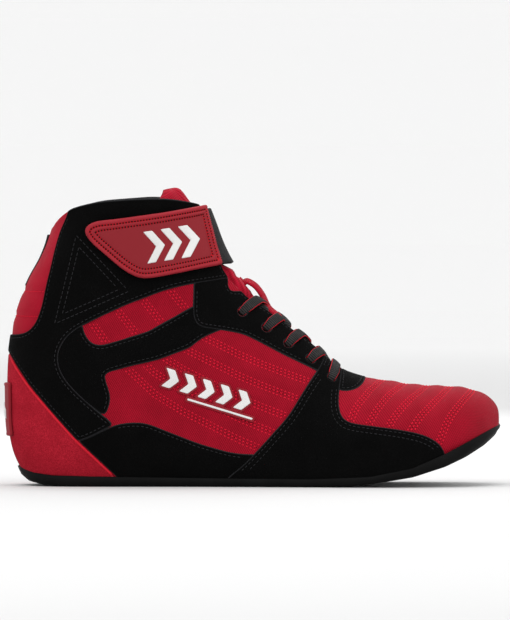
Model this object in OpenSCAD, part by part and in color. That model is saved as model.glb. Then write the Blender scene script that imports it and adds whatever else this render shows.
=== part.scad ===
// High-top boxing boot for the right foot, laced, with a hook-and-loop ankle strap.
// The toe points along +X, the outer (lateral) side faces -Y, and the tread lies on Z = 0.
// Every upper piece is cut from one foot-and-ankle form, at its own depth below or above it.

/* [Boot size] */
// Length of the foot form, heel to toe
boot_length = 288; // [250:1:320]
// Height of the collar's highest point above the floor
collar_height = 169; // [150:1:185]
// Width of the foot form across the ball
ball_width = 99; // [85:1:110]

/* [Upper layers] */
// Thickness of the woven mesh shell
mesh_t = 1.2; // [0.8:0.1:1.2]
// Thickness of the suede overlays
suede_t = 1.2; // [0.8:0.1:1.3]
// Thickness of the heel stiffener between mesh and lining
stiffener_t = 1.25; // [0.8:0.05:1.3]
// Thickness of the lining
lining_t = 1.2; // [0.8:0.1:1.3]
// Thickness of the foam in the padded collar
collar_foam_t = 4.2; // [3:0.1:6]

/* [Strap] */
// Thickness of the elastic strap
strap_t = 1.8; // [1.2:0.1:2]
// Thickness of the moulded rubber tab
tab_t = 2.5; // [1.5:0.1:3]
// Half the width of the strap's front panel, between its two folds
strap_fold_y = 15.25; // [14:0.25:17]

/* [Laces] */
// Width of the flat lace
lace_w = 7; // [5:0.5:8]
// Thickness of the flat lace
lace_t = 1.6; // [1.2:0.1:1.8]
// Radius of a punched eyelet
eyelet_r = 2.5; // [2.3:0.1:2.8]

/* [Hidden] */

gap = 0.15;          // clearance between two layers
seam_gap = 0.3;      // clearance between two pieces in one layer
tab_setback = 1.1;   // from the strap's outer fold to the tab's front edge, so that the tab can peel
throat_floor = 58;   // height where the throat opening starts
far = 400;           // reaches past the whole boot
rings = 36;          // rings of the form, toe to collar
ring_points = 24;    // points round each ring

// Depths of the layers' two faces, measured from the form along its normal.
mesh_layer = [-mesh_t, 0];
suede_layer = [gap, gap + suede_t];
stiffener_layer = [-mesh_t - gap - stiffener_t, -mesh_t - gap];
lining_out = stiffener_layer[0] - gap;
lining_layer = [lining_out - lining_t, lining_out];
foam_layer = [-mesh_t - gap - collar_foam_t, -mesh_t - gap];
collar_lining_layer = [foam_layer[0] - gap - lining_t, foam_layer[0] - gap];
above_suede = suede_layer[1] + gap;
loop_layer = [above_suede, above_suede + 0.9];
hook_layer = [loop_layer[1] + seam_gap, loop_layer[1] + seam_gap + 1];
tab_layer = [hook_layer[1] + gap, hook_layer[1] + gap + tab_t];
strap_layer = [above_suede + gap, above_suede + gap + strap_t];
patch_layer = [above_suede, above_suede + 1.6];

// The form's sections. Each lies in a plane that holds the Y direction, and runs from a point
// on the bottom-and-back line to a point on the toe-instep-shin line:
// [top x, top z, bottom x, bottom z, half width, centre y,
//  share of the height where it is widest, squareness below, squareness above]
SECTIONS = [
    [145.2, 41, 145.2, 37, 3, 8, .50, 2.0, 2.0],
    [144.5, 45, 144.5, 31, 12, 8, .46, 2.2, 2.0],
    [141, 50, 141, 24, 22, 8, .44, 2.5, 2.1],
    [135, 54, 134, 18, 32, 7.5, .42, 2.8, 2.1],
    [125, 57, 124, 12, 40, 6, .38, 3.0, 2.2],
    [111, 58, 110, 6, 46, 4.5, .35, 3.2, 2.2],
    [95, 59, 93, 0, 49.5, 2.5, .34, 3.4, 2.2],
    [79, 62, 74, -4, 49, 1, .33, 3.4, 2.2],
    [65, 67, 54, -5, 46, 0, .32, 3.4, 2.2],
    [52, 75, 31, -6, 41.5, -1, .31, 3.4, 2.2],
    [38, 85.5, 6, -6, 37.5, -1.5, .31, 3.4, 2.3],
    [24, 96.5, -22, -6, 34.5, -1.5, .32, 3.4, 2.3],
    [11, 106.5, -51, -6, 33, -1, .33, 3.4, 2.4],
    [0, 114, -81, -6, 34.5, 0, .36, 3.4, 2.4],
    [-8, 122, -106, -5, 36, 0, .40, 3.2, 2.5],
    [-14, 130.5, -127, 1, 36.5, 0, .44, 2.9, 2.5],
    [-18, 138, -137.5, 15, 36.5, 0, .47, 2.5, 2.6],
    [-21, 145, -142, 31, 36, 0, .50, 2.3, 2.6],
    [-23.5, 152, -143, 48, 36, 0, .50, 2.2, 2.6],
    [-26, 158.5, -143, 67, 36, 0, .50, 2.2, 2.6],
    [-28.5, 165, -141.5, 85, 36.5, 0, .50, 2.2, 2.6],
    [-31, 172, -138, 102, 37, 0, .50, 2.2, 2.6],
    [-33, 179, -131, 120, 37.5, 0, .50, 2.2, 2.6],
    [-35.5, 186, -123.5, 134, 38, 0, .50, 2.2, 2.6],
    [-38, 193.5, -119, 147, 38, 0, .50, 2.2, 2.6],
    [-40, 202, -117.5, 162, 38, 0, .50, 2.2, 2.6]
];
last_section = len(SECTIONS) - 1;
size_x = boot_length / 288;
size_y = ball_width / 99;
size_z = collar_height / 169;

// Height of the sole's upper edge, where the upper is joined to it, along X.
SEAT = [
    [-160, 15], [-137, 11], [-128, 7.5], [-117, 6], [-80, 5.4], [-20, 4.6], [34, 4.4],
    [69, 6], [94, 11], [113, 19], [125, 25], [136, 30.5], [144, 34.5], [160, 41]
];
// The sole's underside in side view, heel to toe: [x, z]
TREAD = [
    [-138, 11], [-136.5, 7], [-131, 3], [-122, 0.8], [-110, 0], [44, 0], [60, 0.9], [76, 3],
    [94, 6], [113, 12], [125, 17.5], [136, 24], [143, 29.5], [146, 33], [147, 36]
];
// The sole's outline in plan, heel round by the outer side to the toe and back: [x, y]
SOLE_PLAN = [
    [-138, 0], [-131, -18], [-116, -28.5], [-92, -32], [-56, -32.5], [-20, -35], [14, -39.5],
    [50, -45.5], [80, -49], [104, -46], [123, -38], [137, -24], [144.5, -8], [146.5, 9],
    [144, 27], [135, 42], [120, 50], [96, 53.5], [70, 50], [40, 42.5], [5, 35], [-30, 31],
    [-60, 31.5], [-92, 32], [-116, 28.5], [-131, 18]
];

// Panel outlines in side view, [x, z]. They run past the form where its own edge ends a panel.
RIM = [
    [-160, -20], [-160, 149], [-119, 149], [-115, 156], [-106, 163], [-90, 167], [-70, 168.5],
    [-56, 169], [-46, 168.5], [-31, 165.5], [-22, 160], [-10, 152], [60, 140], [170, 90], [170, -20]
];
VAMP = [[50, 105], [47, 76], [36, 52], [13, 18], [2, -10], [170, -10], [170, 105]];
HEEL_PANEL = [
    [-170, 85], [-134, 85], [-122, 92], [-115, 106], [-110, 130], [-103, 152], [-97, 180], [-170, 180]
];
COLLAR = [[-170, 112], [-100, 112], [-40, 124], [0, 130], [20, 190], [-170, 190]];
COUNTER_LINE = [
    [-165, 108], [-144, 80], [-136, 67], [-130.5, 58.5], [-119, 45], [-104, 28], [-80, 5.5], [-72, -2]
];
ANKLE = concat([
    [-105, 185], [10, 185], [10, 121.8], [-14, 121.5], [-34, 119], [-50, 115.5], [-75, 106], [-98, 95],
    [-106, 90], [-111.5, 83], [-113.6, 75], [-111, 65.5], [-103, 56], [-89, 43.5], [-80, 36.6],
    [-86, 33.8], [-94, 29.5], [-102.5, 26.5]
], [for (i = [5:-1:0]) COUNTER_LINE[i]], [
    [-165, 89], [-140, 88.6], [-132, 89.7], [-127, 94.5], [-125, 98.5], [-122.5, 106], [-120, 118],
    [-117.3, 128], [-114.5, 139.5], [-111.5, 150], [-106.5, 161]
]);
MID = [
    [-104, 97], [-98.5, 94.8], [-98, 90], [-94, 84.2], [-88, 82.7], [-61, 91], [-37, 104.5], [-34.8, 108],
    [-34.8, 84], [-31, 86], [-36, 81.5], [-55, 74.3], [-72, 70.5], [-84, 67], [-86, 65.5],
    [-85, 61], [-82.5, 54], [-83, 48], [-86, 41], [-98, 50], [-116, 66], [-116, 86]
];
EYESTAY = [
    [-34.5, 130], [-34.8, 99], [-31.5, 93.5], [-17.7, 91.5], [-5, 89], [5, 84], [17, 77.5],
    [36.5, 68], [45, 63], [48, 63], [48, 110], [-4, 114.5], [-12, 114], [-14.5, 116], [-14.5, 130]
];
FOREFOOT = [
    [42, 100], [42.8, 78], [38.5, 68.5], [33.3, 61], [21.5, 41.5], [3, 21], [-6, 12], [-16, 5],
    [-22, -10], [114, -10], [113, 17], [111.5, 22.5], [107.5, 27], [99.5, 31], [86.5, 33.6],
    [70, 35.7], [58, 37.2], [53, 40], [50.8, 46], [50.8, 54], [52.5, 66], [53, 100]
];
FOXING = [
    [-130, 35], [-110, 27], [-102, 27], [-94, 30], [-86, 34], [-78, 37.3], [-67.5, 38.2],
    [-60.5, 37.2], [-51, 33.3], [-31, 25.5], [-12, 20.1], [-1, 19.2], [30, 19], [30, -10], [-130, -10]
];
TAB = [
    [-97, 150], [-92, 155.2], [-26, 164.7], [0, 168], [0, 130], [-18, 129.7], [-60.8, 121.8],
    [-67.5, 122.4], [-76.3, 127.7], [-93.9, 143.4]
];
BAND = [[-40, 163], [-26, 164.7], [0, 167], [10, 130], [-18, 129.7], [-40, 126]];
ANCHOR = [
    [10, 168], [-26, 164.7], [-58, 160], [-66, 154], [-70, 138], [-66, 129], [-58, 124], [-18, 129.7],
    [10, 132]
];
TONGUE_TOP = [
    [-24, 30], [-24, 160], [-34, 166], [-38, 172], [-42, 175.5], [-49, 173.5], [-56, 170],
    [-66, 160], [-66, 100], [-40, 60]
];

// Throat opening between the two eyestays in plan, [x, y], toe end first.
THROAT = [
    [53, 0], [52, 6], [48, 10.5], [41, 13], [0, 13.6], [-6, 14.5], [-10, 16.5], [-13, 19], [-80, 19]
];

// Eyelets, from the lowest pair to the highest, as places along the sections.
EYELETS = [9.15, 10.0, 10.85, 11.75, 12.9];
eyelet_angle = 33;   // degrees round from the form's top line

lace_over = suede_layer[1] + lace_t / 2 + gap;
lace_under = -5.2;
lace_fold = 0.6;
// One crossing of the lace, from an eyelet to the next one up on the other side: [angle, depth]
CROSSING = [
    [30, lace_under], [22, lace_under], [15, -3.4], [8, 0.1], [0, 0.4],
    [-9, 1.6], [-17, lace_over + 0.3], [-28, lace_over], [-eyelet_angle, 0]
];
// How each end lies inside the boot below the top eyelet, tucked against the lining: [section, angle]
LACE_END = [
    [12.93, 31], [12.9, 40], [12.75, 55], [12.6, 70], [12.8, 84], [13.4, 93], [14.2, 96], [15, 94],
    [15.8, 88], [16.2, 78], [16, 68], [15.4, 62], [14.7, 62]
];
// Side view of the loop on the tongue that keeps the laces in place, [x, z] along its middle
KEEPER = [[-8, 123], [-4.6, 120.6], [-1.6, 121.5], [3.2, 118.6], [7.4, 113.4], [10, 108.5], [12.3, 106.2], [16, 103.6]];

// ---------- the form ----------

function spline(a, b, c, d, u) =
    0.5 * (2 * b + (c - a) * u + (2 * a - 5 * b + 4 * c - d) * u * u + (3 * b - a - 3 * c + d) * u * u * u);

function section(t) = let (
    i = min(floor(max(t, 0)), last_section - 1),
    before = SECTIONS[max(i - 1, 0)],
    after = SECTIONS[min(i + 2, last_section)]
) spline(before, SECTIONS[i], SECTIONS[i + 1], after, t - i);

// Point of the form at section t, at an angle in degrees from the top line towards the outer side.
function form_point(t, angle) = let (
    s = section(t),
    up = cos(angle) >= 0,
    power = 2 / (up ? s[8] : s[7]),
    reach = pow(abs(cos(angle)), power),
    share = up ? s[6] + (1 - s[6]) * reach : s[6] * (1 - reach),
    y = s[5] - sign(sin(angle)) * s[4] * pow(abs(sin(angle)), power)
) [
    size_x * (s[2] + (s[0] - s[2]) * share),
    size_y * y,
    size_z * (s[3] + (s[1] - s[3]) * share)
];

function form_normal(t, angle) = let (
    along = form_point(min(t + 0.02, last_section), angle) - form_point(max(t - 0.02, 0), angle),
    around = form_point(t, angle + 1) - form_point(t, angle - 1),
    n = cross(along, around),
    outward = form_point(t, angle) - (form_point(t, 0) + form_point(t, 180)) / 2
) n / norm(n) * (n * outward < 0 ? -1 : 1);

function form_offset(t, angle, depth) = form_point(t, angle) + depth * form_normal(t, angle);

// Triangles of a tube of rings with closed ends, rings of n points each.
function tube_faces(count, n) = concat(
    [for (k = [0:count - 2], j = [0:n - 1]) let (a = k * n + j, b = k * n + (j + 1) % n) [a, b, b + n]],
    [for (k = [0:count - 2], j = [0:n - 1]) let (a = k * n + j, b = k * n + (j + 1) % n) [a, b + n, a + n]],
    [for (j = [1:n - 2]) [0, j + 1, j]],
    [for (j = [1:n - 2]) let (a = (count - 1) * n) [a, a + j, a + j + 1]]
);

module form(depth) {
    points = [
        for (k = [0:rings], j = [0:ring_points - 1])
            form_offset(k * last_section / rings, 360 * j / ring_points, depth)
    ];
    polyhedron(points, tube_faces(rings + 1, ring_points));
}

// ---------- cutting tools ----------

function smooth_closed(points, steps) = let (n = len(points)) [
    for (i = [0:n - 1], k = [0:steps - 1])
        spline(points[(i + n - 1) % n], points[i], points[(i + 1) % n], points[(i + 2) % n], k / steps)
];

function scaled(points) = [for (p = points) [p[0] * size_x, p[1] * size_z]];

// Runs a side-view outline across the boot, from y_from to y_to.
module across(y_from = -far / 2, y_to = far / 2) {
    translate([0, y_to, 0]) rotate([90, 0, 0]) linear_extrude(height = y_to - y_from) children();
}

module outline(points) {
    polygon(scaled(points));
}

// Side-view region from one height above the sole's edge line to another.
module seat_band(low, high) {
    polygon(scaled(concat(
        [for (p = SEAT) [p[0], p[1] + low]],
        [for (i = [len(SEAT) - 1:-1:0]) [SEAT[i][0], SEAT[i][1] + high]]
    )));
}

module throat() {
    half = [for (p = THROAT) [p[0] * size_x, p[1] * size_y]];
    far_half = [for (i = [len(half) - 1:-1:1]) [half[i][0], -half[i][1]]];
    translate([0, 0, throat_floor]) linear_extrude(height = far) polygon(concat(half, far_half));
}

// A piece of the upper: the layer's skin, inside the side-view outline, on one side or both.
// side is -1 for lateral, 1 for medial and 0 for both.
module upper_piece(layer, side = 0, open_throat = true) {
    low_y = side == 1 ? seam_gap / 2 : -far / 2;
    high_y = side == -1 ? -seam_gap / 2 : far / 2;
    resize([0, 0, 0]) difference() {
        intersection() {
            form(layer[1]);
            across(low_y, high_y) intersection() {
                children();
                outline(RIM);
                seat_band(0.1, far);
            }
        }
        form(layer[0]);
        if (open_throat) throat();
    }
}

module eyelet_holes(side) {
    for (t = EYELETS) {
        n = form_normal(t, -side * eyelet_angle);
        translate(form_offset(t, -side * eyelet_angle, -8))
            rotate([0, acos(n[2]), atan2(n[1], n[0])]) cylinder(r = eyelet_r, h = 16, $fn = 8);
    }
}

module punched(side) {
    resize([0, 0, 0]) difference() {
        children();
        eyelet_holes(side);
    }
}

// ---------- sole ----------

module outsole() {
    color("#1d1d1e") intersection() {
        linear_extrude(height = 60)
            polygon([for (p = smooth_closed(SOLE_PLAN, 3)) [p[0] * size_x, p[1] * size_y]]);
        across() polygon(scaled(concat(
            TREAD,
            [for (i = [len(SEAT) - 2:-1:1]) if (SEAT[i][0] < 147) SEAT[i]]
        )));
    }
}

module inside_board(low, high) {
    resize([0, 0, 0]) intersection() {
        form(lining_layer[0] - gap);
        across() intersection() {
            seat_band(low, high);
            outline([[-131, -10], [-131, 60], [138, 60], [138, -10]]);
        }
    }
}

module lasting_board() {
    color("#b9a888") inside_board(0.1, 2.1);
}

module insole() {
    color("#2a2a2c") inside_board(2.25, 6.25);
}

// ---------- mesh shell ----------

module vamp_mesh() {
    color("#b3152a") punched(-1) punched(1) upper_piece(mesh_layer) outline(VAMP);
}

module quarter_mesh(side) {
    color("#b3152a") punched(side) upper_piece(mesh_layer, side) difference() {
        square(far, center = true);
        offset(delta = seam_gap) outline(VAMP);
        offset(delta = seam_gap) outline(HEEL_PANEL);
    }
}

module heel_mesh() {
    color("#b3152a") upper_piece(mesh_layer) outline(HEEL_PANEL);
}

// ---------- lining and padding ----------

module vamp_lining() {
    color("#3a0f16") punched(-1) punched(1) upper_piece(lining_layer) outline(VAMP);
}

module quarter_lining(side) {
    color("#161617") punched(side) upper_piece(lining_layer, side) difference() {
        square(far, center = true);
        offset(delta = seam_gap) outline(VAMP);
        offset(delta = seam_gap) outline(COLLAR);
    }
}

module heel_stiffener() {
    color("#d8d2c4") upper_piece(stiffener_layer)
        outline([[-165, -10], [-165, 78], [-130, 74], [-112, 60], [-90, 30], [-78, -10]]);
}

module collar_foam() {
    color("#e6dfc8") upper_piece(foam_layer) outline(COLLAR);
}

module collar_lining() {
    color("#161617") upper_piece(collar_lining_layer) outline(COLLAR);
}

// ---------- overlays ----------

module heel_counter() {
    color("#ae1a2c") upper_piece(suede_layer) difference() {
        outline(concat(COUNTER_LINE, [[-165, -10]]));
        offset(delta = 1) piping_line();
    }
}

// Strip of side view that the counter's piping follows.
module piping_line() {
    for (i = [0:len(COUNTER_LINE) - 2]) hull() {
        translate([COUNTER_LINE[i][0] * size_x, COUNTER_LINE[i][1] * size_z]) circle(r = 0.5, $fn = 8);
        translate([COUNTER_LINE[i + 1][0] * size_x, COUNTER_LINE[i + 1][1] * size_z]) circle(r = 0.5, $fn = 8);
    }
}

module heel_piping() {
    color("#d01124") upper_piece([gap, suede_layer[1] + 0.5]) offset(delta = 0.3) piping_line();
}

module ankle_overlay(side) {
    color("#0d0d0e") upper_piece(suede_layer, side) difference() {
        outline(ANKLE);
        offset(delta = 1.1) piping_line();
    }
}

module mid_overlay(side) {
    color("#0d0d0e") upper_piece(suede_layer, side) difference() {
        outline(MID);
        offset(delta = seam_gap) outline(ANKLE);
    }
}

module eyestay(side) {
    color("#0d0d0e") punched(side) upper_piece(suede_layer, side) difference() {
        outline(EYESTAY);
        offset(delta = seam_gap) outline(ANKLE);
        offset(delta = seam_gap) outline(MID);
        offset(delta = seam_gap) outline(FOREFOOT);
    }
}

module forefoot_overlay(side) {
    color("#0d0d0e") punched(side) upper_piece(suede_layer, side) outline(FOREFOOT);
}

module foxing(side) {
    color("#0d0d0e") upper_piece(suede_layer, side) difference() {
        outline(FOXING);
        offset(delta = 1.1) piping_line();
        offset(delta = 1) outline(concat(COUNTER_LINE, [[-165, -10]]));
        offset(delta = seam_gap) outline(ANKLE);
        offset(delta = seam_gap) outline(FOREFOOT);
    }
}

module throat_tab() {
    color("#0d0d0e") resize([0, 0, 0]) difference() {
        form(suede_layer[1]);
        form(suede_layer[0]);
        throat();
        across() difference() {
            square(2 * far, center = true);
            translate([54 * size_x, 68 * size_z]) scale([1.1, 1]) circle(r = 13, $fn = 40);
        }
        across() offset(delta = seam_gap) outline(FOREFOOT);
        across() translate([-far, 0]) square([far + 50 * size_x, far]);
    }
}

// ---------- heel trims ----------

module heel_box(half_width, low, high) {
    translate([-far, -half_width, low * size_z])
        cube([far - 100, 2 * half_width, (high - low) * size_z]);
}

module heel_patch() {
    color("#a22a35") resize([0, 0, 0]) difference() {
        intersection() {
            form(patch_layer[1]);
            heel_box(13, 29.5, 60.5);
        }
        form(patch_layer[0]);
    }
}

module heel_emblem() {
    color("#f2f2ee") resize([0, 0, 0]) difference() {
        intersection() {
            form(patch_layer[1] + gap + 0.4);
            translate([-100, 0, 45 * size_z]) rotate([0, -90, 0]) linear_extrude(height = far)
                translate([-5.5, 0]) chevron(7.5, 5, 4.5);
        }
        form(patch_layer[1] + gap);
    }
}

module back_pull_strip() {
    color("#111112") resize([0, 0, 0]) difference() {
        intersection() {
            form(suede_layer[1] + 0.5);
            heel_box(6, 117, 147.5);
        }
        form(suede_layer[0]);
    }
}

// ---------- tongue and laces ----------

// Part of the tongue between two depths, in a strip of this half width.
module tongue_layer(layer, half_width) {
    intersection() {
        difference() {
            form(layer[1]);
            form(layer[0]);
        }
        across(-half_width, half_width) children();
    }
}

// The tongue lies under the eyestays, rises in the opening between them, and is thickest above the
// top eyelets, where no lace crosses it.
module tongue() {
    color("#b3152a") resize([0, 0, 0]) intersection() {
        union() {
            tongue_layer([-10, -6.2], 24)
                outline([[58, 66], [50, 90], [20, 120], [-10, 126], [-45, 122], [10, 60], [58, 50]]);
            tongue_layer([-12.5, -7.4], 28) intersection() {
                outline(TONGUE_TOP);
                outline([[-80, 112], [20, 112], [20, 190], [-80, 190]]);
            }
            tongue_layer([-10, -4.3], 8.5) outline([[49, 66], [49, 90], [0, 130], [-20, 114], [49, 55]]);
            tongue_layer([-10, -0.7], 4.5) outline([[47, 66], [47, 90], [0, 130], [-20, 114], [47, 55]]);
            tongue_layer([-11, 0.3], 12.8) outline([[6, 113], [0, 160], [-40, 160], [-40, 113]]);
        }
        translate([0, 0, 55]) linear_extrude(height = far) square([116, far], center = true);
    }
}

// Webbing loop sewn to the tongue at both ends. The laces pass below it.
module tongue_lace_keeper() {
    color("#c4142a") resize([0, 0, 0]) across(-4.5, 4.5)
        for (i = [0:len(KEEPER) - 2]) hull() {
            translate([KEEPER[i][0] * size_x, KEEPER[i][1] * size_z]) circle(r = 0.6, $fn = 8);
            translate([KEEPER[i + 1][0] * size_x, KEEPER[i + 1][1] * size_z]) circle(r = 0.6, $fn = 8);
        }
}

// ---------- lace ----------

// Half of the lace, from the middle of the bottom bar. Each stop is [section, angle, depth, share of
// the full width]: the lace is folded narrow where it goes through an eyelet.
function lace_half(lift) = concat(
    [[EYELETS[0], -3, lace_over, 1], [EYELETS[0], 12, lace_over, 1], [EYELETS[0], 26, lace_over, 1]],
    [[EYELETS[0], eyelet_angle, 0, lace_fold]],
    [for (i = [0:len(EYELETS) - 2], stop = CROSSING) let (
        side = i % 2 == 0 ? 1 : -1,
        step = EYELETS[i + 1] - EYELETS[i],
        rise = stop[0] == 0 ? lift : 0
    ) [
        EYELETS[i] + step * (eyelet_angle - stop[0]) / (2 * eyelet_angle),
        side * stop[0],
        stop[1] + rise,
        abs(stop[0]) == eyelet_angle ? lace_fold : 1
    ]],
    [for (stop = LACE_END) [stop[0], stop[1], lace_under, 1]]
);

module lace() {
    color("#2b2b2d") resize([0, 0, 0]) union() {
        lace_run(lace_half(0));
        lace_run([for (p = lace_half(0.8)) [p[0], -p[1], p[2], p[3]]]);
    }
}

module lace_run(stops) {
    steps = 2;
    count = (len(stops) - 1) * steps + 1;
    places = [for (k = [0:count - 1]) lace_place(stops, k / steps)];
    points = [for (k = [0:count - 1]) each lace_ring(places, k, count)];
    polyhedron(points, tube_faces(count, 4));
}

function lace_stop(stops, i) = stops[min(max(i, 0), len(stops) - 1)];

// Where the lace is at u stops along it: [point, direction down the throat, width].
function lace_place(stops, u) = let (
    i = min(floor(u), len(stops) - 2),
    part = u - i,
    ends = [for (k = [i - 1:i + 2]) let (s = lace_stop(stops, k)) form_offset(s[0], s[1], s[2])],
    s = stops[i] * (1 - part) + stops[i + 1] * part,
    down = form_point(s[0] - 0.3, s[1]) - form_point(s[0] + 0.3, s[1])
) [spline(ends[0], ends[1], ends[2], ends[3], part), down, s[3] * lace_w];

function lace_ring(places, k, count) = let (
    here = places[k][0],
    ahead = places[min(k + 1, count - 1)][0] - places[max(k - 1, 0)][0],
    along = ahead / norm(ahead),
    flat = places[k][1] - along * (along * places[k][1]),
    w = flat / norm(flat) * places[k][2] / 2,
    t = cross(along, w) / norm(w) * lace_t / 2
) [here + w + t, here + w - t, here - w - t, here - w + t];

// ---------- emblems ----------

// Chevron that points to +x. arm is its width along x, and point is how far its tip leads.
module chevron(half, arm, point) {
    polygon([[0, half], [arm, half], [arm + point, 0], [arm, -half], [0, -half], [point, 0]]);
}

// Row of five chevrons with a thin bar below, along the side of the foot.
module side_chevrons(grow) {
    translate([-22 * size_x, 55.5 * size_z]) rotate(-17) offset(delta = grow) {
        for (x = [-31:11:13]) translate([x, 0]) chevron(5.5, 5.2, 4);
        translate([-14, -9.2]) square([40, 1.2]);
    }
}

module skin_print(layer, y_from, y_to) {
    resize([0, 0, 0]) difference() {
        intersection() {
            form(layer[1]);
            across(y_from, y_to) children();
        }
        form(layer[0]);
    }
}

module side_emblem_backing() {
    color("#7c1d26") skin_print([gap, 0.45], -far / 2, 0) side_chevrons(1.2);
}

module side_emblem() {
    color("#f2f2ee") skin_print([0.6, 1], -far / 2, 0) side_chevrons(0);
}

// ---------- strap ----------

module rounded(r) {
    offset(r = r, $fn = 32) offset(delta = -r) children();
}

module loop_pad() {
    color("#101011") skin_print(loop_layer, -far / 2, 0)
        outline([[-86, 149], [-40, 156], [-40, 131], [-60, 128], [-72, 132], [-86, 142]]);
}

module strap_anchor() {
    color("#17171a") skin_print(strap_layer, strap_fold_y + 0.25, far / 2) rounded(4) outline(ANCHOR);
}

module strap_band() {
    color("#17171a") skin_print(strap_layer, -strap_fold_y + 0.25, strap_fold_y - 0.25) outline(BAND);
}

module strap_tab() {
    color("#a3232f") skin_print(tab_layer, -far / 2, -strap_fold_y - tab_setback) rounded(5) outline(TAB);
}

module hook_pad() {
    color("#1b1b1d") skin_print(hook_layer, -far / 2, -strap_fold_y - 3) offset(delta = -4) outline(TAB);
}

// Three chevrons on the tab's face.
module strap_emblem() {
    color("#f2f2ee") skin_print([tab_layer[1] + gap, tab_layer[1] + gap + 0.5], -far / 2, -strap_fold_y - 4)
        translate([-46 * size_x, 142.5 * size_z]) rotate(8)
            for (x = [-17.5:9.5:1.5]) translate([x, 0]) chevron(9.5, 5, 6);
}

outsole();
lasting_board();
insole();
vamp_mesh();
quarter_mesh(-1);  // quarter_mesh_lateral
quarter_mesh(1);  // quarter_mesh_medial
heel_mesh();
vamp_lining();
quarter_lining(-1);  // quarter_lining_lateral
quarter_lining(1);  // quarter_lining_medial
heel_stiffener();
collar_foam();
collar_lining();
heel_counter();
heel_piping();
heel_patch();
heel_emblem();
back_pull_strip();
ankle_overlay(-1);  // ankle_overlay_lateral
ankle_overlay(1);  // ankle_overlay_medial
mid_overlay(-1);  // mid_overlay_lateral
mid_overlay(1);  // mid_overlay_medial
eyestay(-1);  // eyestay_lateral
eyestay(1);  // eyestay_medial
forefoot_overlay(-1);  // forefoot_overlay_lateral
forefoot_overlay(1);  // forefoot_overlay_medial
foxing(-1);  // foxing_lateral
foxing(1);  // foxing_medial
throat_tab();
tongue();
tongue_lace_keeper();
lace();
side_emblem_backing();
side_emblem();
loop_pad();
strap_anchor();
strap_band();
strap_tab();
hook_pad();
strap_emblem();
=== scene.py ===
"""High-top boxing boot. Lengths are in millimetres in the boot's own frame, and become metres in meshes."""
import math

import bpy
import numpy as np
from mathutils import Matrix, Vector
from mathutils.geometry import delaunay_2d_cdt
from mathutils.kdtree import KDTree


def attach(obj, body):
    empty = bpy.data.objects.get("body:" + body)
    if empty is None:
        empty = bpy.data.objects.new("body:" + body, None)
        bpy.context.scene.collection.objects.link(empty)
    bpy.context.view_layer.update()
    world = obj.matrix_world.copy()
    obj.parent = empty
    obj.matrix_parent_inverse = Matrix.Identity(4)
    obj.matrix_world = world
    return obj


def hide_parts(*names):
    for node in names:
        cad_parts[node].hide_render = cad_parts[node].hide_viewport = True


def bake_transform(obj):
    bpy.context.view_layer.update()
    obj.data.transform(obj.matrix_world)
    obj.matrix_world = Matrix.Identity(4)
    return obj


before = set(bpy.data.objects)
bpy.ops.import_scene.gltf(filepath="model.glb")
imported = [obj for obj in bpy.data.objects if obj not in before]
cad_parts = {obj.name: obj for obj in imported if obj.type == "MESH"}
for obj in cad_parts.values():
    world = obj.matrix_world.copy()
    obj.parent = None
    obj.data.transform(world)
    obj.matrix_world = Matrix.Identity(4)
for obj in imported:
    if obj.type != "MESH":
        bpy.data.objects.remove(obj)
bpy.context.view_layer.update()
MM = 0.001

# ---------------------------------------------------------------- camera and light, in metres

TARGET = Vector((0.0018, 0, 0.1032))     # middle of the view
DISTANCE = 4.0
VIEW_HEIGHT = 0.3658                     # what the picture's height covers at the target
ELEVATION = math.radians(0.6)
SENSOR = 36

camera_data = bpy.data.cameras.new("camera")
camera_data.sensor_width = SENSOR
camera_data.lens = SENSOR * DISTANCE / VIEW_HEIGHT
camera = bpy.data.objects.new("camera", camera_data)
camera.location = TARGET + DISTANCE * Vector((0, -math.cos(ELEVATION), math.sin(ELEVATION)))
camera.rotation_euler = (math.pi / 2 - ELEVATION, 0, 0)
bpy.context.collection.objects.link(camera)
bpy.context.scene.camera = camera
bpy.context.scene.view_settings.view_transform = "Standard"


def area_light(name, place, size, watts, colour=(1, 1, 1)):
    data = bpy.data.lights.new(name, "AREA")
    data.shape = "RECTANGLE"
    data.size, data.size_y = size
    data.energy = watts
    data.color = colour
    lamp = bpy.data.objects.new(name, data)
    lamp.location = place
    lamp.rotation_euler = (Vector((0, 0, 0.08)) - Vector(place)).to_track_quat("-Z", "Y").to_euler()
    bpy.context.collection.objects.link(lamp)


area_light("key", (-0.5, -1.3, 1.3), (1.2, 1.0), 10)
area_light("fill", (1.3, -0.9, 0.7), (1.0, 1.2), 5)
area_light("top", (0.1, 0.25, 1.6), (1.4, 1.2), 11)
area_light("back", (0.3, 1.4, 0.8), (1.6, 0.8), 5)

world = bpy.data.worlds.new("studio")
world.use_nodes = True
world.node_tree.nodes["Background"].inputs["Color"].default_value = (1, 1, 1, 1)
world.node_tree.nodes["Background"].inputs["Strength"].default_value = 0.95
bpy.context.scene.world = world


# ---------------------------------------------------------------- materials

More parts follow.
